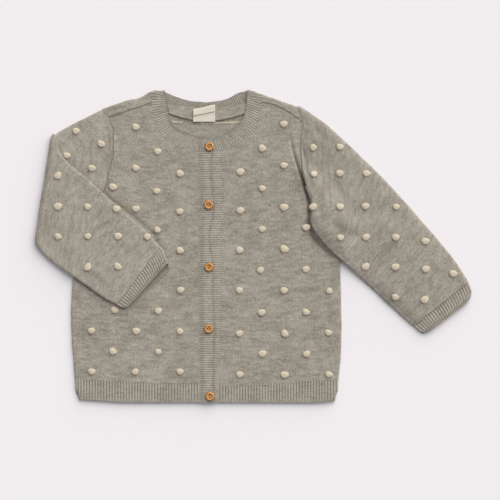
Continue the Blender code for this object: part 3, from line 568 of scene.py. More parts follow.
def band_line(pair, turn, outward, side):
    """Points across the neckband at one station, turned about the shoulder fold."""
    free = Vector((pair[0], pair[1]))
    seam = seam_point(pair)
    seam = seam + (free - seam).normalized() * SEAM_GAP / 2
    line = []
    for k in range(BAND_COLUMNS + 1):
        spot = lerp(free, seam, k / BAND_COLUMNS)
        spot = spot + outward * BAND_FOLD_RADIUS * math.sin(turn)
        level = FRONT_Z
        if side == -1 and turn == 0.0:
            level = lap_height(pair[2], UPPER_BAND_SEAM[0].x)
        level -= BAND_FOLD_RADIUS * (1.0 - math.cos(turn))
        line.append((spot.x, spot.y, level))
    return line


def neckband_nets():
    """One strip from the lap at the centre front, round the back and to the front again."""
    halves = []
    for side in (-1, 1):
        front = neck_curve(side, NECK_FRONT)
        back = neck_curve(side, NECK_BACK)
        _, _, outward = fold_line(side)
        half = [band_line(front(share), 0.0, outward, side) for share in front_band_shares(side)]
        for k in range(1, FOLD_STEPS):
            half.append(band_line(front(1.0), math.pi * k / FOLD_STEPS, outward, side))
        for share in reversed(back_neck_shares()):
            half.append(band_line(back(share), math.pi, outward, side))
        halves.append(half)
    return [halves[0] + halves[1][-2::-1]]


def band_rows(seam_rows, columns_at, level_at):
    """Rows of a front band from the hem's edge to the neckband."""
    rows = []
    for row in range(BAND_ROWS + 1):
        share = row / BAND_ROWS
        middle = lerp(HEM_EDGE_Y, seam_rows[0].y, share)
        seam_x = band_seam(seam_rows, middle)
        line = []
        for x in columns_at(seam_x, middle):
            y = lerp(HEM_EDGE_Y, NECK_FOOT_Y - SEAM_GAP / 2, share)
            line.append((x, y, level_at(x, seam_x)))
        rows.append(line)
    return rows


def upper_band_nets():
    """The band on top, from its seam up over the under band to its waving free edge."""
    edge = through([Vector((row.y, row.edge_x)) for row in LAP_EDGE])

    def columns_at(seam_x, y):
        share = share_where(lambda s: edge(s).x, y)
        columns = lap_columns(seam_x, edge(share).y)
        return [seam_x + SEAM_GAP / 2] + columns[1:]

    return [band_rows(UPPER_BAND_SEAM, columns_at, lap_height)]


def under_band_nets():
    def columns_at(seam_x, _y):
        return under_columns(seam_x - SEAM_GAP / 2)

    return [band_rows(UNDER_BAND_SEAM, columns_at, lambda x, seam_x: FRONT_Z)]


def hem_half(side, inner_x, seam_y, flat_z, other_z):
    """A stretch of hem rib from an inner edge to the rolled side."""
    outline = through([flat(row) for row in HEM_SIDE[side]])
    inset = ROLL_RADIUS + RIB_WALL / 2
    rows = []
    for row in range(HEM_ROWS + 1):
        share = row / HEM_ROWS
        outer = outline(1.0 - share)
        start_x = inner_x(outer.y)
        end_x = outer.x - side * inset
        points = [(lerp(start_x, end_x, column / PANEL_COLUMNS), flat_z)
                  for column in range(PANEL_COLUMNS + 1)]
        points += [(end_x + side * reach, level) for reach, level in roll_profile(flat_z, other_z)]
        line = []
        for x, z in points:
            foot = height_at(HEM_EDGE, x)
            line.append((x, lerp(foot, seam_y(x) - SEAM_GAP / 2, share), z))
        rows.append(line)
    return rows


def hem_front_nets(side, seam_rows):
    def inner_x(y):
        return band_seam(seam_rows, y) + side * SEAM_GAP / 2

    return [hem_half(side, inner_x, hem_seam_y, FRONT_Z, RIB_BACK_Z)]


def hem_back_nets():
    return [hem_half(side, lambda y: 0.0, lambda x: HEM_SEAM_BACK_Y, RIB_BACK_Z, FRONT_Z)
            for side in (-1, 1)]


def edge_arc(centre, outward, low, high, rising):
    """Half a turn between two layers, at one edge of a flattened tube."""
    points = []
    for k in range(EDGE_STEPS + 1):
        turn = math.pi * k / EDGE_STEPS
        if not rising:
            turn = math.pi - turn
        spot = centre + outward * abs(high - low) / 2 * math.sin(turn)
        points.append((spot.x, spot.y, (low + high) / 2 - (high - low) / 2 * math.cos(turn)))
    return points


def ring_points(line, over_out, under_out, levels):
    """One ring of a flattened tube: overarm fold, front layer, underarm fold, back layer.

    line holds points from the overarm edge to the underarm edge, and levels(point) gives
    the heights of the back and front layers there.
    """
    ring = edge_arc(line[0], over_out, *levels(line[0]), True)
    for spot in line[1:-1]:
        ring.append((spot.x, spot.y, levels(spot)[1]))
    ring.extend(edge_arc(line[-1], under_out, *levels(line[-1]), False))
    for spot in reversed(line[1:-1]):
        ring.append((spot.x, spot.y, levels(spot)[0]))
    ring.append(ring[0])
    return ring


def even_spans():
    return [k / RING_SPANS for k in range(RING_SPANS + 1)]


def root_line(side):
    """The root of a sleeve just outside the armhole seam, from the overarm down."""
    outside = moved_beside(armhole_chain(side), -side * SEAM_GAP / 2)
    outside[-1] = outside[-1] + OVERARM_START[side]
    return list(reversed(outside))


def along_chain(chain, share):
    """The point at a share of a chain's length."""
    lengths = [(after - before).length for before, after in zip(chain, chain[1:])]
    rest = share * sum(lengths)
    for before, after, length in zip(chain, chain[1:], lengths):
        if rest <= length:
            break
        rest -= length
    return lerp(before, after, min(rest / length, 1.0))


def across_row(row, inset):
    """Both ends of a ring and the direction from its overarm to its underarm edge."""
    over = Vector((row.over_x, row.over_y))
    under = Vector((row.under_x, row.under_y))
    across = (under - over).normalized()
    return over + across * inset, under - across * inset, across


def sleeve_line(row, root, inset):
    """A function along a ring that keeps some of the armhole's curve."""
    start, end, across = across_row(row, inset)

    def line(share):
        bend = along_chain(root, share) - lerp(root[0], root[-1], share)
        return lerp(start, end, share) + bend * row.curve
    return line, across


def flat_levels(_point):
    return BACK_Z, FRONT_Z


def turned_ring(row, inset, onward=0.0):
    """A ring of the folded part of the right sleeve; its back is now on top."""
    start, end, across = across_row(row, inset)
    along = Vector((-across.y, across.x))
    start, end = start + along * onward, end + along * onward
    width = (end - start).length

    def levels(spot):
        share = (spot - start).length / width
        sag = row.sag * smooth_step(share, SAG_START, 1.0)
        return 2 * TURN_Z - BACK_Z - sag, 2 * TURN_Z - FRONT_Z - sag

    line = [lerp(start, end, share) for share in even_spans()]
    shifted = []
    for x, y, z in ring_points(line, -across, across, levels):
        beneath = smooth_step(2 * TURN_Z - BACK_Z - z, 0.0, LAYER_STEP)
        share = min((Vector((x, y)) - start).length / width, 1.0)
        move = (along * row.lag + across * row.tuck) * beneath * (1.0 - share)
        shifted.append((x + move.x, y + move.y, z))
    return shifted


def turn_rings():
    """Rings round the fold of the right sleeve: each layer bends about the turn line."""
    across = (TURN_FOOT - TURN_TOP).normalized()
    outward = Vector((across.y, -across.x))
    line = [lerp(TURN_TOP, TURN_FOOT, share) for share in even_spans()]
    start = ring_points(line, -across, across, flat_levels)
    rings = []
    for k in range(FOLD_STEPS + 1):
        turn = math.pi * k / FOLD_STEPS
        ring = []
        for x, y, z in start:
            radius = TURN_Z - z
            spot = Vector((x, y)) + outward * radius * math.sin(turn)
            ring.append((spot.x, spot.y, TURN_Z - radius * math.cos(turn)))
        rings.append(ring)
    return rings


def right_sleeve_nets():
    root = root_line(-1)
    root[-1] = root[-1] + UNDERARM_START[-1]
    rings = [ring_points(root, shoulder_outward(-1), UNDERARM_NORMAL[-1], flat_levels)]
    for row in RIGHT_SLEEVE:
        line, across = sleeve_line(row, root, EDGE_INSET)
        points = [line(share) for share in even_spans()]
        rings.append(ring_points(points, -across, across, flat_levels))
    rings.extend(turn_rings())
    rings.extend(turned_ring(row, EDGE_INSET) for row in RIGHT_SLEEVE_TURNED[:-1])
    cuff_seam = RIGHT_SLEEVE_TURNED[-1]
    rings.append(turned_ring(cuff_seam, EDGE_INSET, -CUFF_GAP - SEAM_COLLAR))
    rings.append(turned_ring(cuff_seam, EDGE_INSET, -CUFF_GAP))
    return [rings]


def right_cuff_nets():
    cuff_seam = RIGHT_CUFF_TURNED[0]
    rings = [turned_ring(cuff_seam, EDGE_INSET), turned_ring(cuff_seam, EDGE_INSET, SEAM_COLLAR)]
    rings.extend(turned_ring(row, EDGE_INSET) for row in RIGHT_CUFF_TURNED[1:])
    return [rings]


def corner_distance(point):
    """How far a point is outside the body's left side, below the end of the armhole seam."""
    chain = [flat(ARMHOLE[1][LOW_STATION]), flat(ARMHOLE[1][0])]
    chain += [flat(row) for row in reversed(SIDE_EDGE[1][:-1])]
    best = None
    for start, end in zip(chain, chain[1:]):
        along = end - start
        share = min(max((point - start).dot(along) / along.length_squared, 0.0), 1.0)
        gap = point - (start + along * share)
        outside = along.x * gap.y - along.y * gap.x
        if best is None or gap.length < abs(best):
            best = math.copysign(gap.length, outside)
    return best


def draped_levels(point):
    """Heights of the left sleeve's layers, on the body's side and on the floor beyond it."""
    distance = corner_distance(point)
    low = lerp(OVER_BODY_LOW_Z, BACK_Z, smooth_step(distance, *LOW_LAYER_SLOPE))
    high = lerp(OVER_BODY_HIGH_Z, FRONT_Z, smooth_step(distance, *HIGH_LAYER_SLOPE))
    return low, high


def draped_spans(line):
    """Steps across a ring, with two where the lower layer comes down off the body."""
    distance = lambda share: corner_distance(line(share))
    if distance(1.0) > LOW_LAYER_SLOPE[1]:
        return even_spans()
    foot = share_where(distance, LOW_LAYER_SLOPE[1])
    top = min(share_where(distance, LOW_LAYER_SLOPE[0]), LAST_DRAPED_SPAN)
    spans = [foot * k / 5 for k in range(6)]
    return spans + [(foot + top) / 2, top, (top + 1.0) / 2, 1.0]


def left_root():
    """The visible stretch of the left armhole seam, with steps where the sleeve climbs."""
    outside = root_line(1)[:-LOW_STATION]
    low = outside[-1]
    upward = (outside[-2] - low).normalized()
    steps = [low + upward * step for step in ROOT_STEPS_NEAR_FOLD]
    return outside[:-1] + steps + [low + upward * EDGE_INSET]


def left_sleeve_nets():
    root = left_root()
    rings = [ring_points(root, shoulder_outward(1), UNDERARM_NORMAL[1], draped_levels)]
    for row in LEFT_SLEEVE:
        line, across = sleeve_line(row, root, EDGE_INSET)
        points = [line(share) for share in draped_spans(line)]
        rings.append(ring_points(points, -across, across, draped_levels))
    return [rings]


def left_cuff_nets():
    rings = []
    for row in LEFT_CUFF:
        start, end, across = across_row(row, EDGE_INSET)
        line = [lerp(start, end, share) for share in even_spans()]
        rings.append(ring_points(line, -across, across, lambda _point: (RIB_BACK_Z, FRONT_Z)))
    return [rings]


def bowed(ends_y, middle_y, share):
    """Height of an arc across the back neck."""
    return lerp(middle_y, ends_y, (2.0 * share - 1.0) ** 2)


def tape_nets():
    rows = []
    for number, half_width in enumerate(TAPE_HALF_WIDTHS):
        line = []
        for column in range(TAPE_COLUMNS + 1):
            share = column / TAPE_COLUMNS
            x = lerp(-half_width, half_width, share)
            y = lerp(bowed(*TAPE_FOOT, share), bowed(*TAPE_TOP, share), number / 2)
            line.append((x, y, TAPE_Z))
        rows.append(line)
    return [rows]


def label_nets():
    """A strip that lies on the tape and folds down over itself at the top."""
    radius = (LABEL_FLAP_Z - LABEL_Z) / 2
    middle_z = (LABEL_FLAP_Z + LABEL_Z) / 2
    path = [(LABEL_FOOT, LABEL_Z, 0.0), (lerp(LABEL_FOOT, LABEL_TOP, 0.5), LABEL_Z, 0.5)]
    for k in range(FOLD_STEPS + 1):
        turn = math.pi * k / FOLD_STEPS
        y = LABEL_TOP + radius * math.sin(turn)
        path.append((y, middle_z - radius * math.cos(turn), 1.0))
    path.append((LABEL_TOP - LABEL_FLAP, LABEL_FLAP_Z, 1.0))
    rows = []
    for y, z, slant in path:
        line = []
        for x in (LABEL_LEFT, (LABEL_LEFT + LABEL_RIGHT) / 2, LABEL_RIGHT):
            rise = (x - (LABEL_LEFT + LABEL_RIGHT) / 2) * LABEL_SLANT * slant
            line.append((x, y + rise, z))
        rows.append(line)
    return [rows]


# ---- From a net of stations to a knitted shell

SHELL_WALL = 1.1
LABEL_SHELL_WALL = 0.55
# Room that the pressed bobbles take between the cloth and the surface
BOBBLE_SEAT = 0.42
KNIT_STEP = 1.7
BACK_STEP = 2.2
RIB_SAMPLES = 8
SEAM_REACH = 0.14
CENTRE_REACH = 1.3
UNDERARM_Y = 26.0
SHARP_ANGLE = math.radians(55.0)
# A normal this far below level belongs to an underside
UNDERSIDE = -0.2
MERGE_GAP = 0.00005

# Soft troughs pressed into the cloth of each piece, with a low bank beside each. The deeper ones
# are also painted darker, as shade, and the two on the fronts along the sleeves' edges are painted
# shadow of the sleeves
Crease = namedtuple("Crease", "name points width depth bank")
CREASES = {
    "front_left_knit": [
        Crease("beside the armhole", [(89.4, 119.5), (91.8, 104.0), (95.9, 88.8), (104.3, 64.2),
               (109.0, 48.0), (110.0, 36.0)], 1.7, 1.3, 0.3),
        Crease("under the sleeve's fold", [(99.0, 78.0), (106.0, 58.0), (109.2, 44.0),
               (108.6, 24.0), (114.0, 9.0), (127.0, -5.0), (140.0, -18.0)], 2.6, 1.2, 0.0),
        Crease("over the chest", [(62.0, 96.0), (74.0, 99.0), (88.0, 97.0)], 3.0, 0.25, 0.1),
        Crease("under the arm", [(96.0, 24.0), (110.0, 12.0), (122.0, -8.0)], 6.0, 0.35, 0.1),
        Crease("side, low", [(134.0, -40.0), (131.0, -74.0), (134.0, -104.0)], 5.0, 0.3, 0.0),
    ],
    "front_right_knit": [
        Crease("under the folded sleeve", [(-128.0, 74.5), (-110.0, 57.5), (-93.0, 43.5),
               (-74.0, 29.0), (-58.0, 14.5), (-46.0, -4.0), (-40.0, -16.0)], 1.6, 0.8, 0.0),
        Crease("beside the armhole", [(-93.0, 118.0), (-92.0, 104.0), (-95.5, 90.0)], 3.0, 0.3,
               0.15),
        Crease("beside the band", [(-24.0, 40.0), (-27.0, 4.0), (-25.0, -36.0)], 6.0, 0.3, 0.1),
        Crease("side, low", [(-133.0, -66.0), (-131.0, -90.0), (-134.0, -116.0)], 5.0, 0.3, 0.0),
    ],
    "sleeve_right_knit": [
        Crease("turned edge", [(-164.0, 124.0), (-166.2, 100.0), (-172.0, 62.0), (-180.0, 8.0),
               (-182.0, -6.0)], 2.0, 0.5, 0.0),
        Crease("pressed edge", [(-160.0, 104.0), (-138.0, 78.0), (-112.0, 53.0), (-76.0, 24.5),
               (-54.5, 3.5), (-46.0, -14.0)], 1.3, -0.35, 0.0),
        Crease("pucker, upper", [(-161.0, 112.0), (-156.0, 104.0), (-151.5, 98.5)], 1.8, 0.7,
               0.5),
        Crease("pucker, lower", [(-160.5, 100.5), (-155.0, 94.5), (-149.0, 90.5)], 2.4, 0.5, 0.4),
        Crease("beside the armhole", [(-108.0, 129.0), (-103.5, 118.0), (-103.0, 104.0),
               (-106.5, 90.0), (-113.0, 76.0)], 1.8, 0.6, 0.5),
        Crease("toward the armhole", [(-127.0, 96.0), (-119.0, 84.0), (-112.0, 72.0)], 3.2, 0.5,
               0.3),
        Crease("across the forearm", [(-121.0, 18.0), (-108.0, 24.0), (-97.0, 33.0)], 4.0, 0.5,
               0.25),
        Crease("toward the wrist", [(-134.0, -22.0), (-118.0, -30.0), (-103.0, -41.0)], 5.0, 0.5,
               0.2),
    ],
    "sleeve_left_knit": [
        Crease("beside the armhole", [(104.5, 122.0), (103.6, 104.0), (106.5, 82.0),
               (112.5, 62.0)], 1.6, 0.5, 0.7),
        Crease("out of the armhole", [(118.0, 66.0), (121.0, 46.0), (123.0, 22.0)], 4.2, 0.45,
               0.3),
        Crease("over the side", [(128.0, 30.0), (146.0, 17.0), (168.0, 8.0)], 5.0, 0.6, 0.3),
        Crease("elbow", [(178.0, -26.0), (190.0, -12.0), (196.0, 8.0)], 6.5, 0.4, 0.15),
        Crease("shoulder", [(112.0, 130.0), (124.0, 120.0), (132.0, 106.0)], 4.0, 0.5, 0.2),
    ],
    "back_knit": [
        Crease("under the right arm", [(-122.0, 22.0), (-104.0, 4.0), (-92.0, -22.0)], 6.0, 0.5,
               0.0),
        Crease("under the left arm", [(124.0, 24.0), (108.0, 8.0), (98.0, -14.0)], 6.0, 0.5, 0.0),
        Crease("waist", [(-40.0, -62.0), (4.0, -70.0), (52.0, -64.0)], 7.0, 0.4, 0.0),
    ],
}

# A crease fades out toward its ends, and its bank lies this many widths beside it
CREASE_END = 0.03
CREASE_FADE = 0.6
BANK_AT = 2.2
# Painted shade: a crease deeper than this is painted darker, and so is the line of a seam
CREASE_SHADE_FROM = 0.15
CREASE_SHADE = 0.75
SEAM_LINE_SHADE = 0.8
SEAM_LINE_DEPTH = 0.3

# How high the upper layer of a sleeve stands over its solid, by distance from the armhole
Puff = namedtuple("Puff", "distance height")
PUFFS = {
    "sleeve_right_knit": [Puff(0.0, 0.0), Puff(60.0, 0.5), Puff(84.0, 0.6), Puff(200.0, 1.9),
                          Puff(275.0, 1.0)],
    "cuff_right_knit": [Puff(0.0, 1.0), Puff(16.0, 0.6)],
    "sleeve_left_knit": [Puff(0.0, 0.0), Puff(10.0, 1.2), Puff(60.0, 2.6), Puff(230.0, 2.4),
                         Puff(290.0, 1.2)],
    "cuff_left_knit": [Puff(0.0, 1.2), Puff(16.0, 0.7)],
}
PUFF_FOLD = 1.5
PUFF_EDGE = 5.0
TURNED_PUFF = 1.9
TURN_EDGE = 2.8
TURN_FALL = 1.0

# Which borders of a piece are sewn, and how plainly the seam shows: along the row at its
# start and its end, down its inner side, and on its outer side above the underarm
Seams = namedtuple("Seams", "start end inner outer")
SEAMS = {
    "back_knit": Seams(0.0, 0.9, 0.2, 0.8),
    "front_right_knit": Seams(0.0, 0.9, 0.05, 0.8),
    "front_left_knit": Seams(0.0, 0.9, 0.05, 0.8),
    "sleeve_right_knit": Seams(0.8, 0.0, 0.0, 0.0),
    "sleeve_left_knit": Seams(0.8, 0.0, 0.0, 0.0),
}

# Slow unevenness of cloth that was smoothed out by hand
Wave = namedtuple("Wave", "across along phase height")
UNEVEN = [Wave(63.0, 91.0, 0.4, 0.10), Wave(-38.0, 57.0, 1.9, 0.08), Wave(27.0, -34.0, 3.1, 0.06),
          Wave(17.0, 21.0, 5.2, 0.04)]

# Where the cloth was pushed a little as it was laid out; pieces that meet move together
Nudge = namedtuple("Nudge", "name x y reach move_x move_y")
NUDGES = [
    Nudge("right neck, outside", -72.0, 157.5, 7.0, 0.0, -1.7),
    Nudge("right neck, band", -56.5, 165.0, 6.0, 0.0, 1.5),
    Nudge("right neck, tip", -44.0, 169.0, 3.2, 0.2, -1.3),
    Nudge("left neck, tip", 43.0, 169.5, 3.2, -0.4, -1.0),
    Nudge("left neck, band", 31.0, 166.0, 7.0, 0.0, 1.3),
    Nudge("left cuff, lower corner", 233.0, -97.0, 4.6, -1.0, 2.9),
    Nudge("left cuff, upper corner", 284.0, -57.5, 4.6, -2.2, 1.8),
    Nudge("right cuff, lower corner", -86.0, -69.0, 3.6, -0.9, 1.3),
    Nudge("right sleeve, elbow", -185.0, -1.5, 6.0, 1.8, 0.6),
    Nudge("right sleeve, top of the fold", -165.0, 122.0, 6.0, 1.4, -1.2),
]
# The right armhole seam puckers: sideways waves of these lengths and phases
Pucker = namedtuple("Pucker", "length phase size")
PUCKERS = [Pucker(31.0, 1.1, 0.8), Pucker(13.5, 0.2, 0.45), Pucker(7.7, 2.0, 0.25)]
PUCKER_REACH = 6.0
SHOULDER_FADE_Y = 128.0
SHOULDER_FADE = 0.65
SEAM_FADE = 8.0
SEAM_RIDGE = 0.5
SEAM_RIDGE_WIDTH = 0.8
SEAM_RIDGE_AT = 1.4
SEAM_LINE_WIDTH = 0.75
# Grooves between ribs, painted darker as shade, and the plain edge that is lifted and painted with
# shade where the ribs stop
FURROW_POWER = 1.3
RIB_SHADE = 0.95
PLAIN_SHADE = 0.4
EDGE_LIFT = 0.35
EDGE_LIFT_FADE = 1.2
EDGE_SHADE = 0.35
EDGE_SHADE_FADE = 1.6


def bell(gap, width):
    """1 at no gap, falling softly to nothing within about two widths."""
    return np.exp(-((gap / width) ** 2))


def stops_along(points, axis):
    """Distances of a net's stations in one direction, from its mean steps."""
    steps = np.linalg.norm(np.diff(points, axis=axis), axis=2).mean(axis=1 - axis)
    return np.concatenate([[0.0], np.cumsum(steps)])


def denser(points, axis, step, closed=False):
    """A smooth net through the same stations, with steps no longer than step."""
    stops = stops_along(points, axis)
    points = np.moveaxis(points, axis, 0)
    last = len(stops) - 1
    low = np.maximum(np.arange(last + 1) - 1, 0)
    high = np.minimum(np.arange(last + 1) + 1, last)
    slopes = (points[high] - points[low]) / (stops[high] - stops[low])[:, None, None]
    if closed:
        around = stops[1] + stops[-1] - stops[-2]
        slopes[0] = slopes[-1] = (points[1] - points[-2]) / around
    lines = []
    for k in range(last):
        span = stops[k + 1] - stops[k]
        count = max(1, math.ceil(span / step))
        s = (np.arange(count) / count)[:, None, None]
        lines.append(cubic(points[k], points[k + 1], slopes[k] * span, slopes[k + 1] * span, s))
    lines.append(points[-1:])
    return np.moveaxis(np.concatenate(lines), 0, axis)


def lengths(points, axis):
    """Distance of each point from its line's start, with all lines made equally long."""
    steps = np.linalg.norm(np.diff(points, axis=axis), axis=2)
    run = np.insert(np.cumsum(steps, axis=axis), 0, 0.0, axis=axis)
    whole = run.max(axis=axis, keepdims=True)
    return run / whole * whole.mean()


class Net:
    """A fine net of points with its outward normals and its own two lengths."""

    def __init__(self, rows, steps, facing, closed, reach=(SEAM_REACH, SEAM_REACH)):
        points = denser(np.array(rows), 0, steps[0])
        self.points = denser(points, 1, steps[1], closed)
        self.closed = closed
        inner_x = self.points[:, 0, 0]
        self.sewn_inside = np.abs(inner_x) > CENTRE_REACH
        if not closed and not self.sewn_inside[0]:
            inner_x[~self.sewn_inside] = 0.0
        self.close_gaps(*reach)
        along = np.gradient(self.points, axis=0)
        across = np.gradient(self.points, axis=1)
        if closed:
            across[:, 0] = across[:, -1] = self.points[:, 1] - self.points[:, -2]
        normal = np.cross(along, across)
        normal /= np.linalg.norm(normal, axis=2, keepdims=True)
        row = self.points[0, :, 2]
        column = int(np.argmax(row)) if closed else len(row) // 3
        self.normal = -normal if normal[0, column, 2] * facing < 0.0 else normal
        self.x, self.y, self.z = np.moveaxis(self.points, 2, 0)
        self.across = lengths(self.points, 1)
        self.along = lengths(self.points, 0)

    def close_gaps(self, end_reach, side_reach):
        """Let the borders reach their neighbours, so that no gap shows at a linked seam."""
        spread = np.swapaxes(self.points, 0, 1)
        borders = [(self.points, end_reach), (self.points[::-1], end_reach)]
        if not self.closed:
            inner_reach = side_reach * self.sewn_inside[:, None]
            borders += [(spread, inner_reach), (spread[::-1], side_reach)]
        for lines, reach in borders:
            onward = lines[0] - lines[1]
            onward = onward / np.linalg.norm(onward, axis=1, keepdims=True)
            lines[0] += onward * reach

    def area(self):
        """Area of the smooth net, in square millimetres."""
        across = np.diff(self.points, axis=1)
        along = np.diff(self.points, axis=0)
        upper = np.cross(across[:-1], along[:, :-1])
        lower = np.cross(across[1:], along[:, 1:])
        sizes_of = np.linalg.norm(upper, axis=2).sum() + np.linalg.norm(lower, axis=2).sum()
        return 0.5 * sizes_of

    def beside_seams(self, seams, shape):
        """A shape of the distance from each sewn border, by how plainly that seam shows."""
        inner, outer = self.across, self.across.max() - self.across
        above_underarm = np.clip((self.y - UNDERARM_Y) / SEAM_FADE, 0.0, 1.0)
        up_shoulder = np.clip((self.y - SHOULDER_FADE_Y) / SEAM_FADE, 0.0, 1.0)
        on_shoulder = 1.0 - SHOULDER_FADE * up_shoulder
        start = seams.start * (on_shoulder if self.closed else 1.0)
        borders = [(self.along, start), (self.along.max() - self.along, seams.end)]
        if not self.closed:
            borders.append((outer, seams.outer * above_underarm * on_shoulder))
            borders.append((inner, seams.inner * self.sewn_inside[:, None]))
        return np.max([strength * shape(gap) for gap, strength in borders], axis=0)


def from_line(net, points):
    """Distance in plan from a bent line, and how far each spot is from its ends as a share."""
    best = np.full(net.x.shape, np.inf)
    share = np.zeros(net.x.shape)
    pieces = len(points) - 1
    for number, (start, end) in enumerate(zip(points, points[1:])):
        dx, dy = end[0] - start[0], end[1] - start[1]
        run = ((net.x - start[0]) * dx + (net.y - start[1]) * dy) / (dx * dx + dy * dy)
        run = np.clip(run, 0.0, 1.0)
        gap = np.hypot(net.x - start[0] - dx * run, net.y - start[1] - dy * run)
        nearer = gap < best
        best = np.where(nearer, gap, best)
        share = np.where(nearer, (number + run) / pieces, share)
    return best, share


def pushed(net, spots):
    """Move the cloth sideways at the nudges and along the puckered armhole seam."""
    for nudge in NUDGES:
        gap = np.hypot(net.x - nudge.x, net.y - nudge.y)
        amount = bell(gap, nudge.reach)
        spots[:, :, 0] += amount * nudge.move_x
        spots[:, :, 1] += amount * nudge.move_y
    gap = from_line(net, [(row.x, row.y) for row in ARMHOLE[-1][3:]])[0]
    sway = sum(row.size * np.sin(2.0 * math.pi * net.y / row.length + row.phase) for row in PUCKERS)
    spots[:, :, 0] += sway * bell(gap, PUCKER_REACH)
    return spots


def crease_relief(net, piece):
    """Troughs and banks of the piece's creases; fading out at both ends of each."""
    relief = np.zeros(net.x.shape)
    for crease in CREASES.get(piece, ()):
        gap, share = from_line(net, crease.points)
        fade = np.sin(math.pi * np.clip(share, CREASE_END, 1.0 - CREASE_END)) ** CREASE_FADE
        relief -= crease.depth * fade * bell(gap, crease.width)
        relief += crease.bank * fade * bell(gap - BANK_AT * crease.width, crease.width)
    return relief


def unevenness(net):
    relief = np.zeros(net.x.shape)
    for wave in UNEVEN:
        turn = 2.0 * math.pi * (net.x / wave.across + net.y / wave.along) + wave.phase
        relief += wave.height * np.sin(turn)
    return relief


def puff_relief(net, piece):
    """A tube's upper layer stands up softly between its two folded edges."""
    if piece not in PUFFS:
        return np.zeros(net.x.shape)
    rows = PUFFS[piece]
    height = np.interp(net.along, [row.distance for row in rows], [row.height for row in rows])
    half = net.across.max() / 2
    from_fold = np.minimum(net.across % half, half - net.across % half)
    width = 1.0 - np.exp(-np.clip(from_fold - PUFF_FOLD, 0.0, None) / PUFF_EDGE)
    if piece == "sleeve_right_knit":
        from_turn = from_line(net, [TURN_TOP, TURN_FOOT])[0]
        over = net.z > TURN_Z
        height = np.where(over, np.maximum(height, TURNED_PUFF), height)
        fall = TURN_FALL * np.exp(-from_turn / TURN_EDGE)
        height = np.where(over, height * (1.0 - np.exp(-from_turn / TURN_EDGE)) - fall, height)
    return height * width * np.clip(net.normal[:, :, 2], 0.0, 1.0)


def knit_relief(net, piece):
    """Plain knitting: creases, slow waves, a linked ridge beside the sewn seams, and painted shade
    in the deeper creases and along the seam lines.
    """
    creases = crease_relief(net, piece)
    seams = SEAMS[piece]
    ridge = net.beside_seams(seams, lambda gap: bell(gap - SEAM_RIDGE_AT, SEAM_RIDGE_WIDTH))
    line = net.beside_seams(seams, lambda gap: bell(gap, SEAM_LINE_WIDTH))
    groove = np.clip(-creases - CREASE_SHADE_FROM, 0.0, 1.0) * CREASE_SHADE
    groove = groove + SEAM_LINE_SHADE * line
    relief = creases + SEAM_RIDGE * ridge - SEAM_LINE_DEPTH * line
    return relief + unevenness(net) + puff_relief(net, piece), groove


def rib_relief(net, piece, run, spacing, depth, plain):
    """Ribs as rounded ridges with grooves between, plain and lifted along the free edge; painted
    shade in the grooves and along that edge.
    """
    furrow = (0.5 - 0.5 * np.cos(2.0 * math.pi * run / spacing)) ** FURROW_POWER
    strength = np.clip(plain, 0.0, 1.0)
    relief = -depth * furrow * strength
    lift = EDGE_LIFT * bell(plain * EDGE_LIFT_FADE, 1.0)
    shaded = RIB_SHADE * depth * furrow * (PLAIN_SHADE + (1.0 - PLAIN_SHADE) * strength)
    groove = shaded + EDGE_SHADE * bell(plain * EDGE_SHADE_FADE, 1.0)
    return relief + lift + puff_relief(net, piece), groove


def sew(name, nets, wall, cad_wall, relief, planar, look, inset=0.0):
    """Make one shell from fine nets: relief outward, wall, smooth shading, a woven map and the
    painted shade of each vertex.
    """
    mesh = bmesh.new()
    weave = mesh.loops.layers.uv.new("Weave")
    # the painted shade of each vertex: how far its look is darkened toward the shade colour
    painted_shade_layer = mesh.verts.layers.float.new("groove")
    for net in nets:
        height, groove = relief(net)
        under = net.normal[:, :, 2] < UNDERSIDE
        height = np.where(under, np.minimum(height, 0.0), height)
        height = height - inset * np.clip(-net.normal[:, :, 2], 0.0, 1.0)
        spots = net.points + net.normal * (height + (cad_wall - wall) / 2)[:, :, None]
        spots = pushed(net, spots)
        # the cloth lies on the surface and never sinks into it
        resting = wall / 2 * np.abs(net.normal[:, :, 2])
        spots[:, :, 2] = np.maximum(spots[:, :, 2], resting)
        across = net.x if planar else net.across
        along = net.y if planar else net.along
        rows, columns = net.x.shape
        verts = [mesh.verts.new(spot) for spot in (spots * MM).reshape(-1, 3).tolist()]
        for vert, value in zip(verts, groove.ravel().tolist()):
            vert[painted_shade_layer] = value
        maps = (np.stack([across, along], axis=2).reshape(-1, 2) * MM).tolist()
        for row in range(rows - 1):
            for column in range(columns - 1):
                first = row * columns + column
                corners = (first, first + 1, first + columns + 1, first + columns)
                face = mesh.faces.new([verts[k] for k in corners])
                face.smooth = True
                for loop, k in zip(face.loops, corners):
                    loop[weave].uv = maps[k]
    bmesh.ops.remove_doubles(mesh, verts=mesh.verts, dist=MERGE_GAP)
    bmesh.ops.recalc_face_normals(mesh, faces=mesh.faces)
    piece = object_from(mesh, name)
    cloth = piece.modifiers.new("Wall", "SOLIDIFY")
    cloth.thickness = wall * MM
    cloth.offset = 0.0
    make_real(piece)
    piece.data.set_sharp_from_angle(angle=SHARP_ANGLE)
    piece.data.materials.append(look)
    piece["flat_area"] = sum(net.area() for net in nets) * MM * MM
    return piece


def linked(name, data):
    """A new object in the scene."""
    thing = bpy.data.objects.new(name, data)
    bpy.context.scene.collection.objects.link(thing)
    return thing


def object_from(mesh, name):
    """An object in the scene that holds the built mesh."""
    data = bpy.data.meshes.new(name)
    mesh.to_mesh(data)
    mesh.free()
    return linked(name, data)


def make_real(piece):
    """Turn a piece and its live modifiers into one plain mesh."""
    depsgraph = bpy.context.evaluated_depsgraph_get()
    data = bpy.data.meshes.new_from_object(piece.evaluated_get(depsgraph))
    data.name = piece.name
    piece.modifiers.clear()
    piece.data = data


# ---- Materials

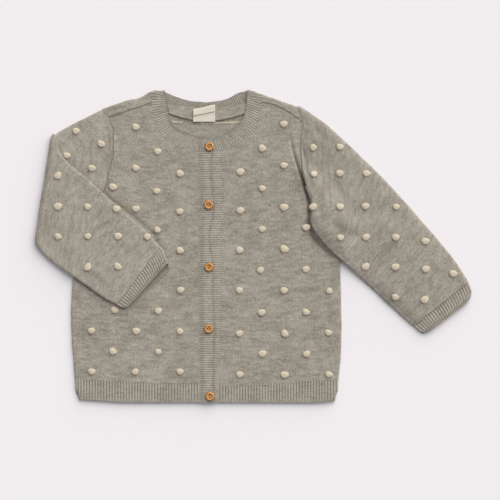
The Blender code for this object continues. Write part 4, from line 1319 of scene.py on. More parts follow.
def linear(code):
    """An sRGB hex colour as linear red, green and blue."""
    values = [int(code[k:k + 2], 16) / 255.0 for k in (1, 3, 5)]
    return tuple(v / 12.92 if v <= 0.04045 else ((v + 0.055) / 1.055) ** 2.4 for v in values)


def add_node(tree, kind, inputs=None, **settings):
    """Add a node with its settings; an input is a value or the socket that feeds it."""
    node = tree.nodes.new(kind)
    for key, value in settings.items():
        setattr(node, key, value)
    for socket, value in (inputs or {}).items():
        if isinstance(value, bpy.types.NodeSocket):
            tree.links.new(value, node.inputs[socket])
        else:
            node.inputs[socket].default_value = value
    return node


def new_look(name):
    """An empty material with its output, ready for one shader."""
    look = bpy.data.materials.new(name)
    look.use_nodes = True
    look.node_tree.nodes.clear()
    output = look.node_tree.nodes.new("ShaderNodeOutputMaterial")
    return look, look.node_tree, output


def finished(look, tree, output, settings):
    """The look, with one shader of these settings joined to its output."""
    shader = add_node(tree, "ShaderNodeBsdfPrincipled", settings)
    tree.links.new(shader.outputs[0], output.inputs[0])
    return look


def mixed(tree, share, dark, light):
    """Two colours, or two colour sockets, mixed by a share."""
    node = add_node(tree, "ShaderNodeMix", {0: share, 6: dark, 7: light}, data_type="RGBA")
    return node.outputs[2]


def rgba(colour):
    return (*colour, 1.0)


def maths(tree, operation, first, second=0.0, third=0.0):
    node = add_node(tree, "ShaderNodeMath", {0: first, 1: second, 2: third}, operation=operation)
    return node.outputs[0]


def weave_map(tree):
    """The map along and across the cloth, in metres."""
    return add_node(tree, "ShaderNodeUVMap", uv_map="Weave").outputs[0]


def own_place(tree):
    return add_node(tree, "ShaderNodeTexCoord").outputs["Object"]


def painted_shade_share(tree):
    return add_node(tree, "ShaderNodeAttribute", attribute_name="groove").outputs["Fac"]


def noise(tree, place, scale, detail, roughness=0.5):
    """Soft noise: its value is output 0 and its colour is output 1."""
    return add_node(tree, "ShaderNodeTexNoise", {
        "Vector": place, "Scale": scale, "Detail": detail, "Roughness": roughness}).outputs


def scaled(tree, place, across, along):
    return add_node(tree, "ShaderNodeMapping", {
        "Vector": place, "Scale": (across, along, 1.0)}).outputs[0]


def clamped(tree, share):
    return add_node(tree, "ShaderNodeClamp", {0: share}).outputs[0]


def bumped(tree, height, strength, depth, under=None):
    """Normals that follow a height of so many millimetres."""
    settings = {"Height": height, "Strength": strength, "Distance": depth * MM}
    if under:
        settings["Normal"] = under
    return add_node(tree, "ShaderNodeBump", settings).outputs[0]


# Knitting, in stitches: how far the wales wander, and how tall a course is
WANDER_SCALE = 170.0
WANDER = 2.2
COURSE = 0.8
COURSE_DEPTH = 0.25
# How much each pattern moves the melange from its dark to its light fibre
FLECK_SHARE = 2.0
STREAK_SHARE = 1.6
CLOUD_SHARE = 0.9
STITCH_SHARE = 0.16
# Fineness of the flecks and streaks, a stitch; of the clouds, a metre
FLECKS_A_STITCH = 0.95
STREAKS_A_STITCH = 0.5
CLOUD_SCALE = 55.0


def stitch_height(tree, place, stitch):
    """Rows of interlocked loops: a rounded wale, cut by a slanting course."""
    parts = add_node(tree, "ShaderNodeSeparateXYZ", {0: place})
    wale = maths(tree, "MULTIPLY", parts.outputs[0], math.pi / stitch)
    wale = maths(tree, "ABSOLUTE", maths(tree, "SINE", wale))
    slant = maths(tree, "PINGPONG", parts.outputs[0], stitch / 2)
    course = maths(tree, "ADD", parts.outputs[1], slant)
    course = maths(tree, "MULTIPLY", course, 2.0 * math.pi / (stitch * COURSE))
    course = maths(tree, "MULTIPLY_ADD", maths(tree, "SINE", course), COURSE_DEPTH,
                   1.0 - COURSE_DEPTH)
    return maths(tree, "MULTIPLY", wale, course)


def wool_look(name, tints, stitch, lift):
    """Fine merino-type jersey in a grey and cream melange: matt, dry, softly mottled."""
    dark, light, groove = tints
    look, tree, output = new_look(name)
    weave = weave_map(tree)
    # hand-smoothed cloth: the wales wander by about one stitch
    wander = noise(tree, weave, WANDER_SCALE, 2.0)[1]
    bent = add_node(tree, "ShaderNodeVectorMath", {0: wander, 1: (WANDER * stitch,) * 3,
                    2: weave}, operation="MULTIPLY_ADD").outputs[0]
    stitches = stitch_height(tree, bent, stitch)
    # flecks are dyed fibres, drawn as wide as one or two stitches so that they show
    flecks = noise(tree, scaled(tree, bent, 1.0, 0.7), FLECKS_A_STITCH / stitch, 3.0, 0.7)[0]
    streaks = noise(tree, scaled(tree, bent, 0.3, 1.0), STREAKS_A_STITCH / stitch, 2.0, 0.6)[0]
    clouds = noise(tree, own_place(tree), CLOUD_SCALE, 3.0, 0.6)[0]
    share = lift - 0.5 * (FLECK_SHARE + STREAK_SHARE + CLOUD_SHARE)
    for pattern, strength in ((flecks, FLECK_SHARE), (streaks, STREAK_SHARE),
                              (clouds, CLOUD_SHARE), (stitches, STITCH_SHARE)):
        share = maths(tree, "MULTIPLY_ADD", pattern, strength, share)
    colour = mixed(tree, clamped(tree, share), rgba(dark), rgba(light))
    # painted shade: the melange is mixed toward the shade colour by each vertex's painted shade
    colour = mixed(tree, painted_shade_share(tree), colour, rgba(groove))
    loops = bumped(tree, stitches, 0.45, 0.3)
    return finished(look, tree, output, {
        "Base Color": colour, "Roughness": 0.92, "IOR": 1.45, "Specular IOR Level": 0.2,
        "Sheen Weight": 0.12, "Sheen Roughness": 0.6,
        "Normal": bumped(tree, flecks, 0.6, 0.5, loops)})


def cotton_look(name, colour, shade, scale, depth):
    """Undyed cotton: creamy, matt, with the twist of its plies as fine lines."""
    look, tree, output = new_look(name)
    place = own_place(tree)
    plies = add_node(tree, "ShaderNodeTexWave", {"Vector": place, "Scale": scale,
                     "Distortion": 3.0, "Detail": 2.0}, bands_direction="DIAGONAL").outputs[1]
    share = maths(tree, "MULTIPLY", plies, noise(tree, place, 2.0 * scale, 2.0)[0])
    return finished(look, tree, output, {
        "Base Color": mixed(tree, share, rgba(shade), rgba(colour)), "Roughness": 0.85,
        "IOR": 1.46, "Specular IOR Level": 0.25, "Sheen Weight": 0.15,
        "Normal": bumped(tree, plies, 0.5, depth)})


# Threads of the label, along and across it
SATIN_THREADS = (0.9, 0.7)


def label_look(name, colour, shade):
    """Woven polyester satin ribbon: smooth, a little shiny, with fine cross threads."""
    look, tree, output = new_look(name)
    parts = add_node(tree, "ShaderNodeSeparateXYZ", {0: weave_map(tree)})
    thread, cross = (
        maths(tree, "SINE", maths(tree, "MULTIPLY", place, 2 * math.pi / (width * MM)))
        for place, width in zip((parts.outputs[1], parts.outputs[0]), SATIN_THREADS))
    cloth = maths(tree, "MULTIPLY_ADD", maths(tree, "MULTIPLY", thread, cross), 0.25, 0.6)
    tint = mixed(tree, cloth, rgba(shade), rgba(colour))
    # painted shade: the ribbon is darkened toward its shaded colour in a band under its fold
    tint = mixed(tree, painted_shade_share(tree), tint, rgba(shade))
    return finished(look, tree, output, {
        "Base Color": tint, "Roughness": 0.55, "IOR": 1.5, "Specular IOR Level": 0.4,
        "Normal": bumped(tree, cloth, 0.35, 0.08)})


def wood_look(name, dark, light):
    """Turned and oiled beech-like wood: straight grain, tiny pores and a satin gloss."""
    look, tree, output = new_look(name)
    weave = weave_map(tree)
    grain = noise(tree, scaled(tree, weave, 1.0, 0.18), 900.0, 4.0, 0.6)[0]
    rings = add_node(tree, "ShaderNodeTexWave", {"Vector": weave, "Scale": 130.0,
                     "Distortion": 4.0, "Detail": 2.0}).outputs[1]
    share = maths(tree, "MULTIPLY_ADD", rings, 0.35, grain)
    # painted shade: darker in the buttons' hollows and down their edge
    share = maths(tree, "SUBTRACT", share, maths(tree, "MULTIPLY", painted_shade_share(tree), 0.9))
    return finished(look, tree, output, {
        "Base Color": mixed(tree, clamped(tree, share), rgba(dark), rgba(light)),
        "Roughness": 0.42, "IOR": 1.5, "Coat Weight": 0.15, "Coat Roughness": 0.3,
        "Normal": bumped(tree, grain, 0.25, 0.05)})


def paper_look(name, colour):
    """Matt painted board for the surface underneath."""
    look, tree, output = new_look(name)
    share = maths(tree, "MULTIPLY", noise(tree, own_place(tree), 3.0, 1.0)[0], 0.2)
    tint = mixed(tree, share, rgba(colour), rgba(tuple(v * 0.97 for v in colour)))
    return finished(look, tree, output, {
        "Base Color": tint, "Roughness": 0.9, "Specular IOR Level": 0.1})


# ---- What a user would change

def length_field(name, description, **limits):
    return bpy.props.FloatProperty(name=name, description=description, precision=4,
                                   unit="LENGTH", **limits)


def colour_field(name, code, description):
    return bpy.props.FloatVectorProperty(name=name, description=description,
                                         subtype="COLOR", default=linear(code))


class CardiganSizes(bpy.types.PropertyGroup):
    stitch: length_field(
        "Stitch width", "Width of one wale of the plain knitting",
        default=0.0016, min=0.0008, max=0.004)
    hem_rib: length_field(
        "Hem and cuff rib", "Distance between ribs of the hem and cuffs",
        default=0.00303, min=0.0015, max=0.006)
    neck_rib: length_field(
        "Neckband rib", "Distance between ribs of the neckband at mid width",
        default=0.00252, min=0.0015, max=0.006)
    band_rib: length_field(
        "Front band rib", "Distance between the ribs across the front bands",
        default=0.00243, min=0.0015, max=0.006)
    rib_depth: length_field(
        "Rib depth", "Depth of the grooves between ribs",
        default=0.0007, min=0.0, max=0.001)
    bobble_width: length_field(
        "Bobble width", "Width of one knitted-in bobble",
        default=0.0089, min=0.003, max=0.012)
    bobble_height: length_field(
        "Bobble height", "How far a bobble stands over the knitting",
        default=0.0025, min=0.001, max=0.006)
    camera_height: bpy.props.FloatProperty(
        name="Camera height", description="Height of the camera over the surface",
        default=2.5, min=0.5, max=10.0, unit="LENGTH")


class CardiganColours(bpy.types.PropertyGroup):
    knit_dark: colour_field("Knit, dark fibre", "#888176", "Darker fibre of the melange yarn")
    knit_light: colour_field("Knit, light fibre", "#B3ADA1", "Lighter fibre of the melange yarn")
    # Painted shade: the colour that creases, seam lines, rib furrows and free edges are darkened
    # toward
    groove: colour_field("Grooves", "#544D43", "Yarn in creases and between ribs")
    cream: colour_field("Cream yarn", "#DBD0BF", "Yarn of the bobbles and floats")
    cream_shade: colour_field(
        "Cream yarn, shaded", "#C9BCA4", "Between the plies of the cream yarn")
    label: colour_field("Label", "#E3DFD3", "Satin ribbon of the label")
    # Wood, dark: the late grain, and also the painted shade in the buttons' hollows and down their
    # edge
    wood_dark: colour_field("Wood, dark", "#8A5826", "Late grain and hollows of the buttons")
    wood_light: colour_field("Wood, light", "#FCBE70", "Early grain of the buttons")
    thread: colour_field("Thread", "#DDB77F", "Thread that holds the buttons")
    floor: colour_field("Surface", "#F2EFF2", "The surface that the cardigan lies on")


def sizes():
    return bpy.context.scene.cardigan_sizes


def colours():
    return bpy.context.scene.cardigan_colours


# Knitted looks: the stitch as a share of the plain one, and how light the mix is. The ribbing and
# the folded sleeve take lighter mixes of the same yarn: painted light.
Yarn = namedtuple("Yarn", "stitch lift")
YARNS = {"melange_jersey": Yarn(1.0, 0.36), "melange_jersey_faded": Yarn(1.0, 0.47),
         "melange_rib": Yarn(0.8, 0.66), "jersey_facing": Yarn(0.7, 0.45)}


def look_of(kind):
    """The material of one kind, made when it is first asked for."""
    made = bpy.data.materials.get(kind)
    if made:
        return made
    tint = colours()
    if kind in YARNS:
        wool = (tint.knit_dark, tint.knit_light, tint.groove)
        return wool_look(kind, wool, sizes().stitch * YARNS[kind].stitch, YARNS[kind].lift)
    makers = {
        "cream_cotton_yarn": lambda name: cotton_look(
            name, tint.cream, tint.cream_shade, 320.0, 0.25),
        "waxed_thread": lambda name: cotton_look(name, tint.thread, tint.wood_dark, 900.0, 0.1),
        "satin_label_ribbon": lambda name: label_look(name, tint.label, tint.cream_shade),
        "oiled_turned_wood": lambda name: wood_look(name, tint.wood_dark, tint.wood_light),
        "matt_board": lambda name: paper_look(name, tint.floor),
    }
    return makers[kind](kind)


# ---- The pieces

# Each piece of cloth: its cut's width and length when flat, whether it lies open or folded,
# what it rests on, the solids that it stands for and its slot
Cut = namedtuple("Cut", "width length held rests_on nodes slot")
CUTS = {
    "back_knit": Cut(290.0, 345.0, "laid", (), ("back_panel",), "knit"),
    "front_right_knit": Cut(150.0, 310.0, "laid", ("back_knit",), ("front_right_panel",), "knit"),
    "front_left_knit": Cut(147.0, 310.0, "laid", ("back_knit",), ("front_left_panel",), "knit"),
    "sleeve_right_knit": Cut(272.0, 239.0, "folded", ("front_right_knit",),
                             ("sleeve_right",), "knit"),
    "sleeve_left_knit": Cut(217.0, 261.0, "laid", ("front_left_knit",), ("sleeve_left",), "knit"),
    "cuff_right_knit": Cut(156.0, 18.0, "folded", ("front_right_knit",), ("cuff_right",), "rib"),
    "cuff_left_knit": Cut(148.0, 18.0, "laid", (), ("cuff_left",), "rib"),
    "hem_back_knit": Cut(279.0, 22.5, "laid", (), ("hem_rib_back",), "rib"),
    "hem_front_right_knit": Cut(131.0, 24.5, "laid", ("hem_back_knit",),
                                ("hem_rib_front_right",), "rib"),
    "hem_front_left_knit": Cut(126.0, 24.5, "laid", ("hem_back_knit",),
                               ("hem_rib_front_left",), "rib"),
    "neckband_knit": Cut(341.0, 18.0, "folded", ("back_knit",), ("neckband",), "rib"),
    "upper_band_knit": Cut(18.3, 271.0, "laid", ("under_band_knit",),
                           ("button_band_right",), "rib"),
    "under_band_knit": Cut(17.5, 270.0, "laid", ("back_knit",), ("button_band_left",), "rib"),
    "neck_facing": Cut(82.5, 15.0, "laid", ("neckband_knit", "back_knit"), ("neck_tape",), "tape"),
    "label_ribbon": Cut(24.0, 27.5, "folded", ("neck_facing",), ("neck_label",), "label"),
}
FINE_RIB_DEPTH = 0.36
CUFF_RIB_DEPTH = 0.6
NECK_RIB_DEPTH = 0.48
BAND_REACH = (0.5, SEAM_REACH)
RIB_STEP = 2.0
# Plain edges beyond the ribs: where each starts to turn plain, and over what width
CUFF_EDGE = 2.2
CUFF_EDGE_WIDTH = 2.6
FOOT_EDGE = 0.8
EDGE_WIDTH = 1.6
LAP_EDGE_WIDTH = 1.8
# Fine nets of the facing and the label, and how far the facing reaches its neighbours
FACING_WALL = 0.9
FACING_STEPS = (0.8, 1.2)
FACING_REACH = (0.0, 1.0)
RIBBON_STEPS = (0.6, 0.8)
NO_REACH = (0.0, 0.0)
STITCHING_AT = 13.2


def knit_piece(name, nets, facing, closed=False, step=KNIT_STEP, inset=0.0,
               look="melange_jersey"):
    """A piece of plain melange knitting; inset keeps its underside off the surface."""
    fine = [Net(rows, (step, step), facing, closed) for rows in nets]
    return sew(name, fine, SHELL_WALL, KNIT_WALL, lambda net: knit_relief(net, name),
               not closed, look_of(look), inset)


def rib_piece(name, nets, facing, spacing, run_of, plain_of, closed=False, depth=None,
              reach=(SEAM_REACH, SEAM_REACH)):
    """A piece of ribbing; its ribs repeat along run_of and stop short of its free edge."""
    spacing /= MM
    depth = sizes().rib_depth / MM if depth is None else depth
    across_ribs = spacing / RIB_SAMPLES
    steps = (across_ribs, RIB_STEP) if run_of == "along" else (RIB_STEP, across_ribs)
    fine = [Net(rows, steps, facing, closed, reach) for rows in nets]

    def relief(net):
        run = {"along": net.along, "across": net.across, "x": net.x, "y": net.y}[run_of]
        if closed:
            whole = run.max()
            run = run * spacing * round(whole / spacing) / whole
        return rib_relief(net, name, run, spacing, depth, plain_of(net))

    return sew(name, fine, SHELL_WALL, RIB_WALL, relief, False, look_of("melange_rib"))


class CARDIGAN_OT_panels(bpy.types.Operator):
    """Knit the back, which comes over the shoulders, and both fronts"""
    bl_idname = "cardigan.panels"
    bl_label = "Back and fronts"

    def execute(self, context):
        knit_piece("back_knit", back_nets(), -1, step=BACK_STEP, inset=BOBBLE_SEAT)
        knit_piece("front_right_knit", front_nets(-1, UPPER_BAND_SEAM), 1)
        knit_piece("front_left_knit", front_nets(1, UNDER_BAND_SEAM), 1)
        return {"FINISHED"}


class CARDIGAN_OT_sleeves(bpy.types.Operator):
    """Knit the folded right sleeve and the left sleeve"""
    bl_idname = "cardigan.sleeves"
    bl_label = "Sleeves"

    def execute(self, context):
        # the folded sleeve takes a lighter mix of the jersey, as painted light
        knit_piece("sleeve_right_knit", right_sleeve_nets(), 1, closed=True, inset=BOBBLE_SEAT,
                   look="melange_jersey_faded")
        knit_piece("sleeve_left_knit", left_sleeve_nets(), 1, closed=True, inset=BOBBLE_SEAT)
        return {"FINISHED"}


class CARDIGAN_OT_ribs(bpy.types.Operator):
    """Knit the cuffs, the hem, the neckband and the two front bands"""
    bl_idname = "cardigan.ribs"
    bl_label = "Ribbing"

    def execute(self, context):
        size = sizes()

        def from_cuff_end(net):
            return (net.along.max() - net.along - CUFF_EDGE) / CUFF_EDGE_WIDTH

        def from_foot(net):
            return (net.along - FOOT_EDGE) / EDGE_WIDTH

        def from_free_edge(net):
            return net.across / EDGE_WIDTH

        for name, nets in (("cuff_right_knit", right_cuff_nets()),
                           ("cuff_left_knit", left_cuff_nets())):
            rib_piece(name, nets, 1, size.hem_rib, "across", from_cuff_end, closed=True,
                      depth=CUFF_RIB_DEPTH)
        rib_piece("hem_back_knit", hem_back_nets(), -1, size.hem_rib, "x", from_foot)
        for side, name, seam in ((-1, "hem_front_right_knit", UPPER_BAND_SEAM),
                                 (1, "hem_front_left_knit", UNDER_BAND_SEAM)):
            rib_piece(name, hem_front_nets(side, seam), 1, size.hem_rib, "x", from_foot)
        rib_piece("neckband_knit", neckband_nets(), 1, size.neck_rib, "along", from_free_edge,
                  depth=NECK_RIB_DEPTH)
        rib_piece("upper_band_knit", upper_band_nets(), 1, size.band_rib, "along",
                  lambda net: (net.across.max() - net.across) / LAP_EDGE_WIDTH,
                  depth=FINE_RIB_DEPTH, reach=BAND_REACH)
        rib_piece("under_band_knit", under_band_nets(), 1, size.band_rib, "along",
                  from_free_edge, depth=FINE_RIB_DEPTH, reach=BAND_REACH)
        return {"FINISHED"}


class CARDIGAN_OT_label(bpy.types.Operator):
    """Sew in the neck facing and the blank folded label"""
    bl_idname = "cardigan.label"
    bl_label = "Facing and label"

    def execute(self, context):
        facing = [Net(rows, FACING_STEPS, 1, False, FACING_REACH) for rows in tape_nets()]
        sew("neck_facing", facing, FACING_WALL, TAPE_WALL, facing_relief, False,
            look_of("jersey_facing"))
        ribbon = [Net(rows, RIBBON_STEPS, -1, False, NO_REACH) for rows in label_nets()]
        sew("label_ribbon", ribbon, LABEL_SHELL_WALL, LABEL_SHELL_WALL, label_relief, False,
            look_of("satin_label_ribbon"))
        return {"FINISHED"}


def facing_relief(net):
    """The facing is flat, with a rolled hem along its lower edge and painted shadow along that
    edge.
    """
    return 0.35 * bell(net.along - 0.9, 0.8), 0.8 * bell(net.along, 0.6)


def label_relief(net):
    """A ribbon that waves a little, with painted shade in a band under its fold, where it is sewn
    down.
    """
    wave = 0.15 * np.sin(net.x / 3.1) + 0.12 * np.sin(net.along / 2.3 + net.x / 6.0)
    ends = np.minimum(net.along, net.along.max() - net.along)
    wave = wave * np.clip(ends / 3.0, 0.0, 1.0)
    return wave, bell(net.along - STITCHING_AT, 0.5) * 0.6


# The rows of bobbles dip toward the front bands, more so near the neck
DIP_X = 30.0
DIP_WIDTH = 33.0
DIP_FOOT_Y = -30.0
# Rows of bobbles: each lattice starts at one spot and is kept where its piece shows
Lattice = namedtuple("Lattice", "piece x y step_x step_y rows columns stagger dip left_out")
LATTICES = [
    Lattice("front_left_knit", 35.2, -137.7, 47.3, 22.4, 13, 3, 0.5, 0.062, ()),
    Lattice("front_right_knit", -28.9, -134.6, -47.2, 21.9, 13, 3, 0.5, 0.062, ()),
    Lattice("sleeve_right_knit", -158.7, 74.4, 31.9, -32.2, 4, 4, 0.0, 0.0, ((0, 1),)),
]
Spot = namedtuple("Spot", "piece x y margin")
SINGLE_BOBBLES = [Spot("sleeve_right_knit", *row) for row in (
    (-139.6, 122.6, 1.0), (-113.0, 109.4, 1.0), (-149.0, 96.4, 1.0), (-122.8, 82.1, 1.0),
    (-95.9, 39.0, 0.5))]
# The left sleeve was stretched a little as it was laid out, so its columns spread
SLEEVE_COLUMNS = (114.0, 142.3, 170.1, 201.2, 232.7, 262.6)
SLEEVE_ROWS = (105.5, 77.0, 42.0, 9.3, -22.5, -54.6)
SLEEVE_MARGIN = 2.0
WRIST_DIP = 0.0011
WRIST_DIP_X = 180.0
UNDER_LATTICES = [
    Lattice("back_knit", -118.0, -137.7, 47.3, 22.4, 12, 6, 0.5, 0.0, ()),
    Lattice("sleeve_left_knit", 123.0, 92.5, 30.9, -32.6, 6, 6, 0.0, 0.0, ()),
    Lattice("sleeve_right_knit", -166.0, 106.0, 31.0, -30.5, 4, 2, 0.0, 0.0, ()),
]
BOBBLED = ("front_right_knit", "front_left_knit", "sleeve_right_knit", "sleeve_left_knit",
           "back_knit")
BOBBLE_MARGIN = 3.2
BOBBLE_RINGS = 6
BOBBLE_SIDES = 12
BOBBLE_LOOPS = 3
PROBE_HEIGHT = 0.1
PRESSED_SHARE = 0.2
# No two bobbles are quite alike: spread of their place, turn, size and width
SPOT_SPREAD = 0.5
TURN_SPREAD = 0.4
SIZE_SPREAD = 0.05
WIDTH_SPREAD = 0.07
BOBBLE_SEED = 7
FLOAT_SEED = 11
Placed = namedtuple("Placed", "spot normal turn scale aspect press")


def all_cloth():
    return [bpy.data.objects[name] for name in CUTS if name in bpy.data.objects]


def surface_probe():
    """A function that says which cloth piece a vertical ray meets first, and where."""
    trees = {piece.name: BVHTree.FromObject(piece, bpy.context.evaluated_depsgraph_get())
             for piece in all_cloth()}

    def probe(x, y, upward):
        start = Vector((x * MM, y * MM, -PROBE_HEIGHT if upward else PROBE_HEIGHT))
        ray = Vector((0.0, 0.0, 1.0 if upward else -1.0))
        best = None
        for name, tree in trees.items():
            spot, normal, _, distance = tree.ray_cast(start, ray)
            if spot is not None and (best is None or distance < best[3]):
                best = (name, spot, normal, distance)
        return best

    return probe


def lattice_spots(lattice):
    for row in range(lattice.rows):
        for column in range(lattice.columns):
            if (row, column) in lattice.left_out:
                continue
            shift = lattice.stagger * (row % 2)
            x = lattice.x + (column + shift) * lattice.step_x
            y = lattice.y + row * lattice.step_y
            beside_band = math.exp(-(((abs(x) - DIP_X) / DIP_WIDTH) ** 2))
            dip = lattice.dip * max(0.0, y - DIP_FOOT_Y) * beside_band
            yield Spot(lattice.piece, x, y - dip, BOBBLE_MARGIN)


def placed_bobbles(spots, probe, upward, chance):
    """Keep the spots where the whole bobble lies on its piece, each a little uneven."""
    kept = []
    for spot in spots:
        x = spot.x + chance.normal(0.0, SPOT_SPREAD)
        y = spot.y + chance.normal(0.0, SPOT_SPREAD)
        turn = chance.normal(0.0, TURN_SPREAD)
        scale = 1.0 + chance.normal(0.0, SIZE_SPREAD)
        hits = [probe(x + dx, y + dy, upward) for dx, dy in
                ((0.0, 0.0), (spot.margin, 0.0), (-spot.margin, 0.0), (0.0, spot.margin),
                 (0.0, -spot.margin))]
        if all(hit is not None and hit[0] == spot.piece for hit in hits):
            _, place, normal, _ = hits[0]
            aspect = 1.0 + chance.normal(0.0, WIDTH_SPREAD)
            kept.append(Placed(place, normal, turn, scale, aspect, upward))
    return kept


def skin(mesh, top, rings, foot):
    """Smooth faces from a top point down over rings of vertices to a foot point."""
    count = len(rings[0])
    for side in range(count):
        ahead = (side + 1) % count
        mesh.faces.new((top, rings[0][side], rings[0][ahead]))
        mesh.faces.new((foot, rings[-1][ahead], rings[-1][side]))
        for upper, lower in zip(rings, rings[1:]):
            mesh.faces.new((upper[side], lower[side], lower[ahead], upper[ahead]))
    for face in mesh.faces:
        face.smooth = True
    bmesh.ops.recalc_face_normals(mesh, faces=mesh.faces)


# The form of a bobble, one unit wide and high
LOOP_DEPTH = 0.10
LOOP_TWIST = 1.2
FORM_REACH = 0.52
FORM_FULLNESS = 0.8
FORM_LENGTH = 0.86
FORM_TAPER = 0.65
FORM_MIDDLE = 0.34
FORM_TOP = (0.0, 0.03, 0.8)
FORM_FOOT = (0.0, 0.0, -0.16)


def bobble_form():
    """One bobble, one unit wide and high: three yarn loops drawn together, fuller below."""
    mesh = bmesh.new()
    rings = []
    for ring in range(1, BOBBLE_RINGS):
        fall = math.pi * ring / BOBBLE_RINGS
        line = []
        for side in range(BOBBLE_SIDES):
            turn = 2.0 * math.pi * side / BOBBLE_SIDES
            bend = math.cos(BOBBLE_LOOPS * turn / 2.0 + LOOP_TWIST * fall)
            loops = 1.0 - LOOP_DEPTH * abs(bend)
            reach = FORM_REACH * math.sin(fall) ** FORM_FULLNESS * loops
            across, down = reach * math.cos(turn), FORM_LENGTH * reach * math.sin(turn)
            high = 0.5 * math.cos(fall) * (1.0 - LOOP_DEPTH + LOOP_DEPTH * loops)
            line.append(mesh.verts.new((across * (1.0 + FORM_TAPER * down), down,
                                        high + FORM_MIDDLE)))
        rings.append(line)
    top = mesh.verts.new(FORM_TOP)
    foot = mesh.verts.new(FORM_FOOT)
    skin(mesh, top, rings, foot)
    return object_from(mesh, "bobble_form")


def scatter_tree(name):
    """Geometry Nodes: put one form at every point, turned and sized by its attributes."""
    tree = bpy.data.node_groups.new(name, "GeometryNodeTree")
    face = tree.interface
    for socket, kind in (("Points", "Geometry"), ("Form", "Object"), ("Width", "Float"),
                         ("Height", "Float"), ("Yarn", "Material")):
        face.new_socket(socket, in_out="INPUT", socket_type="NodeSocket" + kind)
    face.new_socket("Made", in_out="OUTPUT", socket_type="NodeSocketGeometry")
    source = add_node(tree, "NodeGroupInput")
    form = add_node(tree, "GeometryNodeObjectInfo", {"Object": source.outputs["Form"]})
    normal = add_node(tree, "GeometryNodeInputNamedAttribute", {"Name": "facing"},
                      data_type="FLOAT_VECTOR")
    turn, scale, press, aspect = (
        add_node(tree, "GeometryNodeInputNamedAttribute", {"Name": key}).outputs["Attribute"]
        for key in ("turn", "scale", "press", "aspect"))
    upright = add_node(tree, "FunctionNodeAlignRotationToVector",
                       {"Vector": normal.outputs["Attribute"]}, axis="Z")
    spin = add_node(tree, "ShaderNodeCombineXYZ", {"Z": turn})
    turned = add_node(tree, "FunctionNodeRotateRotation", {
        "Rotation": upright.outputs[0], "Rotate By": spin.outputs[0]}, rotation_space="LOCAL")
    width = maths(tree, "MULTIPLY", source.outputs["Width"], scale)
    height = maths(tree, "MULTIPLY", source.outputs["Height"], press)
    wide = maths(tree, "MULTIPLY", width, aspect)
    size = add_node(tree, "ShaderNodeCombineXYZ", {"X": wide, "Y": width, "Z": height})
    placed = add_node(tree, "GeometryNodeInstanceOnPoints", {
        "Points": source.outputs["Points"], "Instance": form.outputs["Geometry"],
        "Rotation": turned.outputs[0], "Scale": size.outputs[0]})
    real = add_node(tree, "GeometryNodeRealizeInstances", {0: placed.outputs[0]})
    dyed = add_node(tree, "GeometryNodeSetMaterial", {
        "Geometry": real.outputs[0], "Material": source.outputs["Yarn"]})
    add_node(tree, "NodeGroupOutput", {"Made": dyed.outputs[0]})
    return tree


def scatter(name, form, places, width, height, look):
    """Points with their attributes, turned by the tree into one plain mesh of forms."""
    data = bpy.data.meshes.new(name)
    data.from_pydata([tuple(place.spot) for place in places], [], [])
    facing = data.attributes.new("facing", "FLOAT_VECTOR", "POINT")
    facing.data.foreach_set("vector", [v for place in places for v in place.normal])
    for key in ("turn", "scale", "aspect", "press"):
        values = [getattr(place, key) for place in places]
        data.attributes.new(key, "FLOAT", "POINT").data.foreach_set("value", values)
    piece = linked(name, data)
    tree = bpy.data.node_groups.get("scatter_forms") or scatter_tree("scatter_forms")
    made = piece.modifiers.new("Scatter", "NODES")
    made.node_group = tree
    values = {"Form": form, "Width": width, "Height": height, "Yarn": look}
    for item in tree.interface.items_tree:
        if item.name in values:
            made[item.identifier] = values[item.name]
    make_real(piece)
    return piece


class CARDIGAN_OT_bobbles(bpy.types.Operator):
    """Put the cream bobbles on the fronts, sleeves and back"""
    bl_idname = "cardigan.bobbles"
    bl_label = "Bobbles"

    def execute(self, context):
        chance = np.random.default_rng(BOBBLE_SEED)
        probe = surface_probe()
        form = bobble_form()
        size = sizes()
        yarn = look_of("cream_cotton_yarn")
        shown = [spot for lattice in LATTICES for spot in lattice_spots(lattice)]
        shown += SINGLE_BOBBLES
        shown += [Spot("sleeve_left_knit", x, y - WRIST_DIP * max(0.0, x - WRIST_DIP_X) ** 2,
                       SLEEVE_MARGIN) for x in SLEEVE_COLUMNS for y in SLEEVE_ROWS]
        hidden = [spot for lattice in UNDER_LATTICES for spot in lattice_spots(lattice)]
        for piece in BOBBLED:
            places = []
            for spots, upward in ((shown, False), (hidden, True)):
                mine = [spot for spot in spots if spot.piece == piece]
                places += placed_bobbles(mine, probe, upward, chance)
            places = [pressed(place) for place in places]
            if not places:
                raise RuntimeError("no bobble fits on " + piece)
            scatter("bobbles_" + piece, form, places, size.bobble_width, size.bobble_height, yarn)
        bpy.data.objects.remove(form)
        return {"FINISHED"}


def pressed(place):
    """A bobble under the cloth is pressed flat into it; one on top keeps its height."""
    if not place.press:
        return place._replace(press=1.0)
    return place._replace(press=PRESSED_SHARE, normal=Vector((0.0, 0.0, -1.0)))


# Cream floats carried across the inside of the back, just under the facing
FLOAT_RUNS = ((-36.5, -27.0), (-7.0, 35.6))
FLOAT_Y = 131.4
FLOAT_STEP = 1.5
FLOAT_SWING = 0.35
FLOAT_TURN = 0.9
FLOAT_BOW = 0.6
FLOAT_BOW_REACH = 30.0
FLOAT_LIFT = 0.75
FLOAT_SPREAD = 0.12
FLOAT_WIDTH = 0.24
FLOAT_HEIGHT = 0.32


